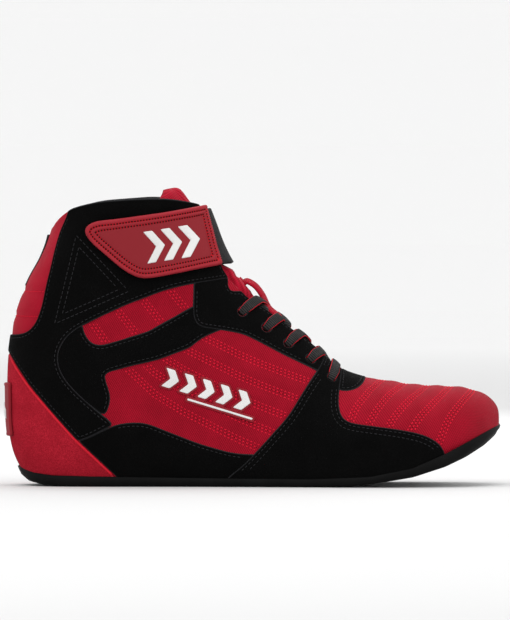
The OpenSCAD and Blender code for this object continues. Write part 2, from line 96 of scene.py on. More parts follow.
class Nodes:
    """A new material's node tree, with short calls for the nodes used here."""

    def __init__(self, name, **shader):
        self.material = bpy.data.materials.new(name)
        self.material.use_nodes = True
        self.tree = self.material.node_tree
        self.shader = self.tree.nodes["Principled BSDF"]
        for key, value in shader.items():
            self.shader.inputs[key.replace("_", " ")].default_value = value

    def node(self, kind, **inputs):
        made = self.tree.nodes.new(kind)
        for key, value in inputs.items():
            self.plug(value, made.inputs[int(key[1:])] if key[0] == "i" else made.inputs[key])
        return made

    def plug(self, value, socket):
        if isinstance(value, bpy.types.NodeSocket):
            self.tree.links.new(value, socket)
        else:
            socket.default_value = value

    def math(self, operation, a, b=0.0, c=0.0):
        made = self.tree.nodes.new("ShaderNodeMath")
        made.operation = operation
        for socket, value in zip(made.inputs, (a, b, c)):
            self.plug(value, socket)
        return made.outputs[0]

    def uv(self, name):
        made = self.tree.nodes.new("ShaderNodeUVMap")
        made.uv_map = name
        split = self.node("ShaderNodeSeparateXYZ", i0=made.outputs[0])
        return split.outputs[0], split.outputs[1]

    def noise(self, scale, detail=2.0, roughness=0.5):
        place = self.tree.nodes.new("ShaderNodeTexCoord").outputs["Object"]
        return self.node("ShaderNodeTexNoise", Vector=place, Scale=scale, Detail=detail,
                         Roughness=roughness).outputs[0]

    def ramp(self, value, low, high, to_low=0.0, to_high=1.0):
        return self.node("ShaderNodeMapRange", i0=value, i1=low, i2=high, i3=to_low, i4=to_high).outputs[0]

    def mix(self, share, a, b):
        made = self.tree.nodes.new("ShaderNodeMix")
        made.data_type = "RGBA"
        self.plug(share, made.inputs[0])
        self.plug((*a, 1) if isinstance(a, tuple) else a, made.inputs[6])
        self.plug((*b, 1) if isinstance(b, tuple) else b, made.inputs[7])
        return made.outputs[2]

    def colour(self, value):
        self.plug(value, self.shader.inputs["Base Color"])

    def bump(self, height, depth_mm, strength=1.0):
        made = self.node("ShaderNodeBump", Height=height, Strength=strength, Distance=depth_mm * MM)
        self.plug(made.outputs[0], self.shader.inputs["Normal"])


def weave_height(n, pitch, slant):
    """Threads of a twill, from the UV map in millimetres: diagonal ridges broken by finer cross threads."""
    u, v = n.uv("mm")
    across = n.math("ADD", u, n.math("MULTIPLY", v, slant))
    along = n.math("SUBTRACT", v, n.math("MULTIPLY", u, slant))
    ridges = n.math("SINE", n.math("MULTIPLY", across, 2 * math.pi / pitch))
    cross = n.math("SINE", n.math("MULTIPLY", along, 2 * math.pi / pitch / 0.8))
    return n.math("ADD", n.math("MULTIPLY_ADD", ridges, 0.32, 0.5), n.math("MULTIPLY", cross, 0.18))


def mesh_fabric(name, dark, light, pitch=1.2, slant=0.55):
    n = Nodes(name, Roughness=0.8, Sheen_Weight=0.03, Specular_IOR_Level=0.06)
    threads = weave_height(n, pitch, slant)
    patchy = n.ramp(n.noise(60, 3), 0.3, 0.7, 0.0, 0.2)
    n.colour(n.mix(n.math("MULTIPLY_ADD", threads, 0.8, patchy), dark, light))
    n.bump(threads, 0.3, 0.8)
    return n.material


def suede(name, dark, light, edge_tone_and_highlight, specks=0.5):
    """Napped leather: a fine fibre grain, cloudy brushed patches, and a cut edge painted paler, partly the
    raw edge's own tone and partly painted highlight.
    """
    n = Nodes(name, Roughness=1.0, Specular_IOR_Level=0.06)
    grain = n.noise(1700, 3, 0.7)
    clouds = n.noise(60, 3)
    share = n.math("MULTIPLY", n.ramp(grain, 0.4, 0.75), n.ramp(clouds, 0.3, 0.75, 0.25, 1.0))
    nap = n.mix(n.math("MULTIPLY", share, specks), dark, light)
    distance, _ = n.uv("edge")
    # painted highlight: the edge's rounded shoulder, up to 0.9 mm in, is painted paler, partly the raw edge's
    # own tone and partly light caught on it
    rim = n.math("MULTIPLY", n.ramp(distance, 0.2, 0.9, 1.0, 0.0), n.ramp(grain, 0.3, 0.7, 0.35, 1.0))
    n.colour(n.mix(rim, nap, edge_tone_and_highlight))
    n.bump(grain, 0.3, 0.55)
    return n.material


def rubber(name, dark, light, rough=0.5, grain=0.08, shine=0.2):
    n = Nodes(name, Roughness=rough, Specular_IOR_Level=shine)
    n.colour(n.mix(n.ramp(n.noise(45, 3), 0.3, 0.7), dark, light))
    n.bump(n.noise(2200, 2), grain, 0.5)
    return n.material


def webbing(name, dark, light, pitch=0.9):
    """Ribbed tape: ribs across it and finer threads along it, from the UV map in millimetres."""
    n = Nodes(name, Roughness=0.8, Specular_IOR_Level=0.08)
    u, v = n.uv("mm")
    ribs = n.math("SINE", n.math("MULTIPLY", u, 2 * math.pi / pitch))
    fine = n.math("SINE", n.math("MULTIPLY", v, 2 * math.pi / 0.6))
    height = n.math("ADD", n.math("MULTIPLY_ADD", ribs, 0.4, 0.4), n.math("MULTIPLY_ADD", fine, 0.1, 0.1))
    n.colour(n.mix(n.math("MULTIPLY", height, n.ramp(n.noise(300, 2), 0.3, 0.7, 0.6, 1.0)), dark, light))
    n.bump(height, 0.3, 0.8)
    return n.material


def thread(name, dark, light):
    n = Nodes(name, Roughness=0.7, Specular_IOR_Level=0.12)
    n.colour(n.mix(n.noise(900, 2), dark, light))
    n.bump(n.noise(3000, 1), 0.1, 0.5)
    return n.material


def plain_grained(name, dark, light, rough, scale, grain):
    n = Nodes(name, Roughness=rough, Specular_IOR_Level=0.12)
    n.colour(n.mix(n.ramp(n.noise(scale, 4), 0.3, 0.7), dark, light))
    n.bump(n.noise(scale * 6, 2), grain, 0.6)
    return n.material


def tab_rubber():
    """The tab's matte rubber: a brighter raised rim, and two brighter sewn channels round the middle."""
    n = Nodes("rubber_tab", Roughness=0.6, Specular_IOR_Level=0.15)
    distance, _ = n.uv("edge")
    outer = n.math("COMPARE", distance, 2.75, 0.55)
    inner = n.math("COMPARE", distance, 5.4, 0.5)
    field = n.mix(n.ramp(distance, 2.0, 6.2), (0.29, 0.015, 0.024), (0.215, 0.012, 0.018))
    n.colour(n.mix(n.math("MAXIMUM", outer, inner), field, (0.42, 0.003, 0.010)))
    n.bump(n.noise(2200, 2), 0.06, 0.5)
    return n.material


MESH_RED = mesh_fabric("mesh_red", (0.13, 0.0008, 0.005), (0.40, 0.005, 0.022))
HEEL_MESH = mesh_fabric("heel_mesh", (0.17, 0.001, 0.007), (0.50, 0.008, 0.030))
RUBBER_TAB = tab_rubber()
TONGUE_KNIT = mesh_fabric("tongue_knit", (0.16, 0.001, 0.006), (0.46, 0.008, 0.03), 1.7, 0.6)
SUEDE_BLACK = suede("suede_black", (0.001, 0.001, 0.001), (0.0075, 0.0074, 0.0074), (0.032, 0.032, 0.035))
SUEDE_RED = suede("suede_red", (0.24, 0.006, 0.014), (0.62, 0.024, 0.048), (0.6, 0.04, 0.06), 1.0)
RUBBER_RED = rubber("rubber_red", (0.21, 0.010, 0.017), (0.25, 0.013, 0.021), 0.6, shine=0.12)
RUBBER_BLACK = rubber("rubber_black", (0.0022, 0.0022, 0.0022), (0.0045, 0.0045, 0.0045), 0.55, shine=0.06)
PRINT_WHITE = rubber("print_white", (0.62, 0.62, 0.61), (0.70, 0.70, 0.69), 0.5, 0.03)
WEBBING_BLACK = webbing("webbing_black", (0.006, 0.006, 0.007), (0.046, 0.045, 0.046))
WEBBING_RED = webbing("webbing_red", (0.20, 0.001, 0.006), (0.50, 0.008, 0.03))
LACE_BLACK = webbing("lace_black", (0.004, 0.004, 0.004), (0.050, 0.048, 0.048), 1.1)
LACE_EDGE = thread("lace_edge", (0.40, 0.004, 0.014), (0.62, 0.014, 0.03))
THREAD_GREY = thread("thread_grey", (0.010, 0.010, 0.011), (0.030, 0.030, 0.033))
THREAD_RED = thread("thread_red", (0.50, 0.003, 0.016), (0.72, 0.012, 0.04))
THREAD_WINE = thread("thread_wine", (0.004, 0.0006, 0.001), (0.012, 0.001, 0.002))
THREAD_DARK = thread("thread_dark", (0.025, 0.001, 0.002), (0.06, 0.002, 0.004))
LINING = mesh_fabric("lining_black", (0.004, 0.004, 0.004), (0.018, 0.018, 0.019), 0.9, 0.2)
INSOLE_FABRIC = mesh_fabric("insole_black", (0.006, 0.006, 0.007), (0.03, 0.03, 0.032), 1.4, 0.2)
BOARD = plain_grained("fibreboard", (0.24, 0.19, 0.12), (0.40, 0.33, 0.23), 0.85, 120, 0.1)
STIFFENER = plain_grained("stiffener", (0.45, 0.42, 0.36), (0.58, 0.55, 0.48), 0.6, 80, 0.05)
LOOP_TAPE = plain_grained("loop_tape", (0.004, 0.004, 0.004), (0.03, 0.03, 0.03), 0.9, 700, 0.6)
HOOK_TAPE = plain_grained("hook_tape", (0.005, 0.005, 0.005), (0.04, 0.04, 0.042), 0.6, 1200, 0.5)

floor_nodes = Nodes("floor", Roughness=0.9)
floor_place = floor_nodes.tree.nodes.new("ShaderNodeTexCoord").outputs["Object"]
floor_y = floor_nodes.node("ShaderNodeSeparateXYZ", i0=floor_place).outputs[1]
# painted shade and light: the floor is painted darkest from the boot forward, near the lamps, and lighter
# towards the backdrop 5 m behind, to even out how their light falls on it
floor_painted_light_ramp = floor_nodes.ramp(floor_y, 0.0, 5.0)
floor_nodes.colour(floor_nodes.mix(floor_painted_light_ramp, (0.62, 0.62, 0.62), (0.98, 0.98, 0.98)))


def studio_floor():
    """A floor that curves up into a backdrop, behind the camera's view as well."""
    reach, turn, high, radius = 16.0, 10.0, 9.0, 4.0
    profile = [(-reach, 0)] + [
        (turn - radius + radius * math.sin(a), radius - radius * math.cos(a))
        for a in np.linspace(0, math.pi / 2, 13)
    ] + [(turn, high)]
    verts = [(x, y, z) for y, z in profile for x in (-reach, reach)]
    faces = [(2 * k, 2 * k + 1, 2 * k + 3, 2 * k + 2) for k in range(len(profile) - 1)]
    mesh = bpy.data.meshes.new("floor")
    mesh.from_pydata(verts, [], faces)
    mesh.materials.append(floor_nodes.material)
    floor = bpy.data.objects.new("floor", mesh)
    bpy.context.collection.objects.link(floor)


studio_floor()

# ---------------------------------------------------------------- small helpers

def unit(v):
    """Vectors made one long."""
    return v / np.maximum(np.linalg.norm(v, axis=-1, keepdims=True), 1e-9)


def run_length(points):
    """The length along points, 0 at the first."""
    return np.concatenate([[0], np.cumsum(np.linalg.norm(np.diff(points, axis=0), axis=1))])


def soft_step(x, at, soft):
    """From 0 below a value to 1 above it."""
    return 1 / (1 + np.exp(np.clip((at - x) / soft, -60, 60)))


def hump(x, at, width):
    """1 at a value, falling to 0 on both sides of it."""
    return np.exp(-((x - at) / width) ** 2)


def spline(a, b, c, d, u):
    """The place between b and c on a smooth curve through four places."""
    square, cube = 2 * a - 5 * b + 4 * c - d, 3 * b - a - 3 * c + d
    return 0.5 * (2 * b + (c - a) * u + square * u * u + cube * u ** 3)


def through(knots, at):
    """A smooth curve through knots: at is in knots from the first one."""
    i = np.clip(at.astype(int), 0, len(knots) - 2)
    return spline(*(knots[np.clip(i + k, 0, len(knots) - 1)] for k in (-1, 0, 1, 2)), (at - i)[:, None])


def between(rows, at):
    """Rows of a table in straight steps: at is in rows from the first one."""
    i = np.clip(at.astype(int), 0, len(rows) - 2)
    u = (at - i)[:, None]
    return rows[i] * (1 - u) + rows[i + 1] * u


def smoothed(values, reach):
    """Values averaged with this many neighbours on each side."""
    return np.convolve(np.pad(values, reach, mode="edge"), np.ones(2 * reach + 1) / (2 * reach + 1), "valid")


# ---------------------------------------------------------------- the foot form

# Sections from the toe to the collar, as in the CAD, but closed to a point at the toe. Each row is
# [top x, top z, bottom x, bottom z, half width, centre y, share of the height where it is widest,
#  squareness below, squareness above]
SECTIONS = np.array([
    [145.2, 39.2, 145.2, 38.8, 0.3, 8, .50, 2.0, 2.0],
    [144.5, 45, 144.5, 31, 12, 8, .46, 2.2, 2.0],
    [141, 50, 141, 24, 22, 8, .44, 2.5, 2.1],
    [135, 54, 134, 18, 32, 7.5, .42, 2.8, 2.1],
    [125, 57, 124, 12, 40, 6, .38, 3.0, 2.2],
    [111, 58, 110, 6, 46, 4.5, .35, 3.2, 2.2],
    [95, 59, 93, 0, 49.5, 2.5, .34, 3.4, 2.2],
    [79, 61.4, 74, -4, 49, 1, .33, 3.4, 2.2],
    [64.6, 63.4, 54, -5, 46, 0, .32, 3.4, 2.2],
    [50.4, 69.3, 31, -6, 41.5, -1, .31, 3.4, 2.2],
    [37.1, 83, 6, -6, 37.5, -1.5, .31, 3.4, 2.3],
    [23.3, 94.7, -22, -6, 34.5, -1.5, .32, 3.4, 2.3],
    [10.7, 105.3, -51, -6, 33, -1, .33, 3.4, 2.4],
    [0, 113.4, -81, -6, 34.5, 0, .36, 3.4, 2.4],
    [-8, 122, -106, -5, 36, 0, .40, 3.2, 2.5],
    [-14, 130.5, -127, 1, 36.5, 0, .44, 2.9, 2.5],
    [-18, 138, -137.5, 15, 36.5, 0, .47, 2.5, 2.6],
    [-21, 145, -142, 31, 36, 0, .50, 2.3, 2.6],
    [-23.5, 152, -143, 48, 36, 0, .50, 2.2, 2.6],
    [-26, 158.5, -143, 67, 36, 0, .50, 2.2, 2.6],
    [-28.5, 165, -141.5, 85, 36.5, 0, .50, 2.2, 2.6],
    [-31, 172, -138, 102, 37, 0, .50, 2.2, 2.6],
    [-33, 179, -131, 120, 37.5, 0, .50, 2.2, 2.6],
    [-35.5, 186, -123.5, 134, 38, 0, .50, 2.2, 2.6],
    [-38, 193.5, -119, 147, 38, 0, .50, 2.2, 2.6],
    [-40, 202, -117.5, 162, 38, 0, .50, 2.2, 2.6],
])
LAST = len(SECTIONS) - 1
T_STEPS = 1000           # table rows, toe to collar
Q_STEPS = 280            # table columns on each side of a ring
T_SCALE, Q_SCALE = 13.0, 125.0     # rough millimetres for one section, and for half a ring


def form_point(t, angle):
    """Point at section t and an angle in degrees from the top line towards the outer side."""
    s = through(SECTIONS, np.atleast_1d(np.asarray(t, float)))
    a = np.radians(np.atleast_1d(np.asarray(angle, float)))
    power = 2 / np.where(np.cos(a) >= 0, s[:, 8], s[:, 7])
    reach = np.abs(np.cos(a)) ** power
    share = np.where(np.cos(a) >= 0, s[:, 6] + (1 - s[:, 6]) * reach, s[:, 6] * (1 - reach))
    return np.stack([
        s[:, 2] + (s[:, 0] - s[:, 2]) * share,
        s[:, 5] - np.sign(np.sin(a)) * s[:, 4] * np.abs(np.sin(a)) ** power,
        s[:, 3] + (s[:, 1] - s[:, 3]) * share,
    ], axis=1)


def form_tables():
    """The form on an even grid: q runs from -1 to 1 round a ring, 0 on the top line, + on the outer side."""
    w = np.sin(np.linspace(0, math.pi / 2, 150)) ** 2 * 90
    angles = np.concatenate([w, 90 + w[1:]])
    even = np.linspace(0, 1, Q_STEPS + 1)
    points = np.empty((T_STEPS + 1, 2 * Q_STEPS + 1, 3))
    for row, t in enumerate(np.linspace(0, LAST, T_STEPS + 1)):
        for sign in (1, -1):
            ring = form_point(np.full(len(angles), t), sign * angles)
            length = run_length(ring)
            half = np.stack([np.interp(even, length / length[-1], ring[:, k]) for k in range(3)], axis=1)
            columns = slice(Q_STEPS, None) if sign == 1 else slice(Q_STEPS, None, -1)
            points[row, columns] = half
    along = np.gradient(points, LAST / T_STEPS, axis=0)
    wrapped = np.concatenate([points[:, -2:-1], points, points[:, 1:2]], axis=1)
    around = np.gradient(wrapped, 1 / Q_STEPS, axis=1)[:, 1:-1]
    normal = unit(np.cross(along, around))
    out = points - (points[:, Q_STEPS:Q_STEPS + 1] + points[:, :1]) / 2
    normal *= np.sign((normal * out).sum(axis=2).mean())
    return points, along, around, normal


POINT, ALONG, AROUND, NORMAL = form_tables()


def look(table, t, q):
    """A table's value at section t and ring place q, which wraps from 1 to -1."""
    x = np.clip(np.asarray(t, float) / LAST, 0, 1) * T_STEPS
    y = (np.asarray(q, float) + 1) % 2 * Q_STEPS
    i = np.minimum(x.astype(int), T_STEPS - 1)
    j = np.minimum(y.astype(int), 2 * Q_STEPS - 1)
    u, v = (x - i)[:, None], (y - j)[:, None]
    return (table[i, j] * (1 - u) * (1 - v) + table[i + 1, j] * u * (1 - v)
            + table[i, j + 1] * (1 - u) * v + table[i + 1, j + 1] * u * v)


def normal_at(t, q):
    return unit(look(NORMAL, t, q))


def skin(t, q, depth):
    return look(POINT, t, q) + normal_at(t, q) * np.broadcast_to(depth, np.shape(t))[:, None]


def move(t, q, step):
    """Where a step in millimetres along the form leads from (t, q)."""
    goal = look(POINT, t, q) + step
    for _ in range(3):
        gap = goal - look(POINT, t, q)
        a, b = look(ALONG, t, q), look(AROUND, t, q)
        aa, bb, ab = (a * a).sum(1), (b * b).sum(1), (a * b).sum(1)
        ga, gb = (gap * a).sum(1), (gap * b).sum(1)
        det = aa * bb - ab * ab + 1e-9
        t = np.clip(t + (ga * bb - gb * ab) / det, 0, LAST)
        q = q + (gb * aa - ga * ab) / det
    return t, q


def locate(point, side=0):
    """(t, q) of the form's place nearest to a point; a side view point [x, z] on one side also does."""
    every_row, every_column = 4, 2
    grid = POINT[::every_row, ::every_column]
    flat = grid.reshape(-1, 3)
    if len(point) == 2:
        gaps = ((flat[:, [0, 2]] - point) ** 2).sum(1) + np.where(flat[:, 1] * side < 0, 1e6, 0)
    else:
        gaps = ((flat - point) ** 2).sum(1)
    row, column = divmod(int(gaps.argmin()), grid.shape[1])
    return row * every_row * LAST / T_STEPS, column * every_column / Q_STEPS - 1


# ---------------------------------------------------------------- fields: positive inside, in mm

def polygon_field(outline, x, y):
    """Signed distance to a closed outline, positive inside."""
    best = np.full(x.shape, 1e9)
    inside = np.zeros(x.shape, bool)
    for (ax, ay), (bx, by) in zip(outline, np.roll(outline, -1, axis=0)):
        dx, dy = bx - ax, by - ay
        u = np.clip(((x - ax) * dx + (y - ay) * dy) / (dx * dx + dy * dy + 1e-12), 0, 1)
        best = np.minimum(best, (x - ax - u * dx) ** 2 + (y - ay - u * dy) ** 2)
        crosses = (ay > y) != (by > y)
        inside ^= crosses & (x < ax + (y - ay) * dx / (dy if dy else 1e-12))
    return np.where(inside, 1, -1) * np.sqrt(best)


def rounded(points, radius=6.0, steps=4):
    """The outline with each corner cut by a curve that starts at most this far from it."""
    points = np.array(points, float)
    out = []
    for before, here, after in zip(np.roll(points, 1, axis=0), points, np.roll(points, -1, axis=0)):
        a, b = before - here, after - here
        start = here + a * min(0.5, radius / max(np.linalg.norm(a), 1e-9))
        end = here + b * min(0.5, radius / max(np.linalg.norm(b), 1e-9))
        for u in np.linspace(0, 1, steps):
            out.append((1 - u) ** 2 * start + 2 * u * (1 - u) * here + u * u * end)
    return np.array(out)


SEAT = np.array([
    [-160, 15], [-137, 11], [-128, 7.5], [-117, 6], [-80, 5.4], [-20, 4.6], [34, 4.4],
    [69, 6], [94, 11], [113, 19], [125, 25], [136, 30.5], [144, 34.5], [160, 41],
])
TREAD = np.array([
    [-138, 11], [-136.5, 7], [-131, 3], [-122, 0.8], [-110, 0], [44, 0], [60, 0.9], [76, 3],
    [94, 6], [113, 12], [125, 17.5], [136, 24], [143, 29.5], [146, 33], [147, 36],
])
SOLE_PLAN = np.array([
    [-138, 0], [-131, -18], [-116, -28.5], [-92, -32], [-56, -32.5], [-20, -35], [14, -39.5],
    [50, -45.5], [80, -49], [104, -46], [123, -38], [137, -24], [144.5, -8], [146.5, 9],
    [144, 27], [135, 42], [120, 50], [96, 53.5], [70, 50], [40, 42.5], [5, 35], [-30, 31],
    [-60, 31.5], [-92, 32], [-116, 28.5], [-131, 18],
])
RIM = rounded([
    [-160, -20], [-160, 149], [-119, 149], [-115, 156], [-106, 163], [-90, 167], [-70, 168.5],
    [-56, 169], [-46, 168.5], [-31, 165.5], [-22, 160], [-10, 152], [60, 140], [170, 90], [170, -20],
])
VAMP = rounded([[50, 105], [47, 76], [36, 52], [13, 18], [2, -10], [170, -10], [170, 105]])
HEEL_PANEL = rounded([
    [-170, 85], [-134, 85], [-122, 92], [-115, 106], [-110, 130], [-103, 152], [-97, 180], [-170, 180],
])
COUNTER_LINE = np.array([
    [-165, 108], [-144, 80], [-136, 67], [-130.5, 58.5], [-119, 45], [-104, 28], [-80, 5.5], [-72, -2],
])
COUNTER = rounded([*COUNTER_LINE, [-165, -10]], 5)
ANKLE = rounded([
    [-105, 185], [10, 185], [10, 121.8], [-14, 121.5], [-34, 119], [-50, 115.5], [-75, 106], [-98, 95],
    [-106, 90], [-111.5, 83], [-113.6, 75], [-111, 65.5], [-103, 56], [-89, 43.5], [-80, 36.6],
    [-86, 33.8], [-94, 29.5], [-102.5, 26.5], *COUNTER_LINE[5::-1],
    [-165, 89], [-140, 88.6], [-132, 89.7], [-127, 94.5], [-125, 98.5], [-122.5, 106], [-120, 118],
    [-117.3, 128], [-114.5, 139.5], [-111.5, 150], [-106.5, 161],
])
MID = rounded([
    [-104, 97], [-98.5, 94.8], [-98, 90], [-94, 84.2], [-88, 82.7], [-61, 91], [-37, 104.5], [-30, 108],
    [-20, 100], [-14, 93.5], [-18, 91.5], [-24.5, 89.5], [-31, 86], [-36, 81.5], [-55, 74.3],
    [-72, 70.5], [-84, 67], [-86, 65.5], [-85, 61], [-82.5, 54], [-83, 48], [-86, 41], [-98, 50],
    [-116, 66], [-116, 86],
], 4)
EYESTAY = rounded([
    [-34.5, 130], [-34.8, 99], [-31.5, 93.5], [-17.7, 91.5], [-5, 89], [5, 84], [17, 77.5],
    [36.5, 68], [45, 63], [48, 63], [48, 110], [-4, 114.5], [-12, 114], [-14.5, 116], [-14.5, 130],
], 4)
FOREFOOT = rounded([
    [42, 100], [42.8, 78], [38.5, 68.5], [33.3, 61], [21.5, 41.5], [3, 21], [-6, 12], [-16, 5],
    [-22, -10], [114, -10], [113, 17], [111.5, 22.5], [107.5, 27], [99.5, 31], [86.5, 33.6],
    [70, 35.7], [58, 37.2], [53, 40], [50.8, 46], [50.8, 54], [52.5, 66], [53, 100],
])
FOXING = rounded([
    [-130, 35], [-110, 27], [-102, 27], [-94, 30], [-86, 34], [-78, 37.3], [-67.5, 38.2],
    [-60.5, 37.2], [-51, 33.3], [-31, 25.5], [-12, 20.1], [-1, 19.2], [30, 19], [30, -10], [-130, -10],
])
TAB = rounded([
    [-97, 150], [-92, 155.2], [-26, 164.7], [0, 168], [0, 130], [-18, 129.7], [-60.8, 121.8],
    [-67.5, 122.4], [-76.3, 127.7], [-93.9, 143.4],
])
BAND = np.array([
    [-40, 160], [-33, 161], [-29, 162.5], [-26.5, 161.5], [-24, 158], [10, 130], [-18, 129.7], [-40, 126],
], float)
ANCHOR = rounded([
    [10, 168], [-26, 164.7], [-58, 160], [-66, 154], [-70, 138], [-66, 129], [-58, 124], [-18, 129.7],
    [10, 132],
], 5)
LOOP_PAD = rounded([[-86, 149], [-40, 156], [-40, 131], [-60, 128], [-72, 132], [-86, 142]], 4)
THROAT_HALF = [
    [53, 0], [52, 6], [48, 10.5], [41, 13], [0, 13.6], [-6, 14.2], [-10, 15.2], [-13, 16.2], [-80, 17],
]
THROAT = np.array(THROAT_HALF + [[x, -y] for x, y in THROAT_HALF[:0:-1]], float)
EYELETS = [9.15, 10.0, 10.85, 11.75, 12.9]
EYELET_ANGLE = 33
EYELET_R = 2.9
EYELET_PLACES = [form_point(t, side * EYELET_ANGLE)[0] for t in EYELETS for side in (1, -1)]
THROAT_LOWEST = 58       # the throat cuts only what is above this height
SEAM_GAP = 0.3           # between pieces that meet edge to edge
FOLD_Y = 15.25           # how far to each side the strap's folds are

# Spans of sections, and of ring places
FOOT = (0, 13.5)
BACK = (7, LAST)
UPPER = (12, LAST)
OUTER, INNER = (0, 1), (-1, 0)
SIDES = {"lateral": (-1, OUTER), "medial": (1, INNER)}       # with the sign of y


def seat_height(x):
    return np.interp(x, SEAT[:, 0], SEAT[:, 1])


def tread_height(x):
    return np.interp(x, TREAD[:, 0], TREAD[:, 1])


def in_side_view(outline):
    return lambda p: polygon_field(outline, p[:, 0], p[:, 2])


def outside(field, gap=SEAM_GAP):
    return lambda p: -field(p) - gap


def on_side(side):
    return lambda p: p[:, 1] * side - SEAM_GAP / 2


def above_sole(p):
    return p[:, 2] - seat_height(p[:, 0]) + 1.6


def clear_of_throat(p):
    gap = -polygon_field(THROAT, p[:, 0], p[:, 1])
    return np.where(p[:, 2] > THROAT_LOWEST, gap, 50.0)


def clear_of_eyelets(p):
    return np.min([np.linalg.norm(p - c, axis=1) for c in EYELET_PLACES], axis=0) - EYELET_R


def below_rim(p):
    return polygon_field(RIM, p[:, 0], p[:, 2])


def both(*fields):
    return lambda p: np.min([field(p) for field in fields], axis=0)


# ---------------------------------------------------------------- meshes

def contour(values):
    """Closed loops where a grid of values crosses zero, as grid places. The grid's rim is negative."""
    sign = values > 0
    here = sign[:-1, :-1]
    mixed = (here != sign[1:, :-1]) | (here != sign[:-1, 1:]) | (here != sign[1:, 1:])
    links = {}
    for i, j in np.argwhere(mixed).tolist():
        corners = [(i, j), (i, j + 1), (i + 1, j + 1), (i + 1, j)]
        cuts = [
            tuple(sorted((corners[k], corners[k - 3])))
            for k in range(4) if sign[corners[k]] != sign[corners[k - 3]]
        ]
        pairs = [cuts]
        if len(cuts) == 4:
            joined = (sum(values[c] for c in corners) > 0) == sign[corners[0]]
            first = 0 if joined else -1
            pairs = [(cuts[first], cuts[first + 1]), (cuts[first + 2], cuts[first + 3])]
        for a, b in pairs:
            links.setdefault(a, []).append(b)
            links.setdefault(b, []).append(a)
    loops = []
    while links:
        start = next(iter(links))
        chain, before, here = [start], None, start
        while True:
            steps = [k for k in links[here] if k != before]
            before, here = here, steps[0] if steps else start
            if here == start:
                break
            chain.append(here)
        for k in chain:
            del links[k]
        loops.append(np.array([
            np.array(a) + (np.array(b) - a) * values[a] / (values[a] - values[b]) for a, b in chain
        ]))
    return loops


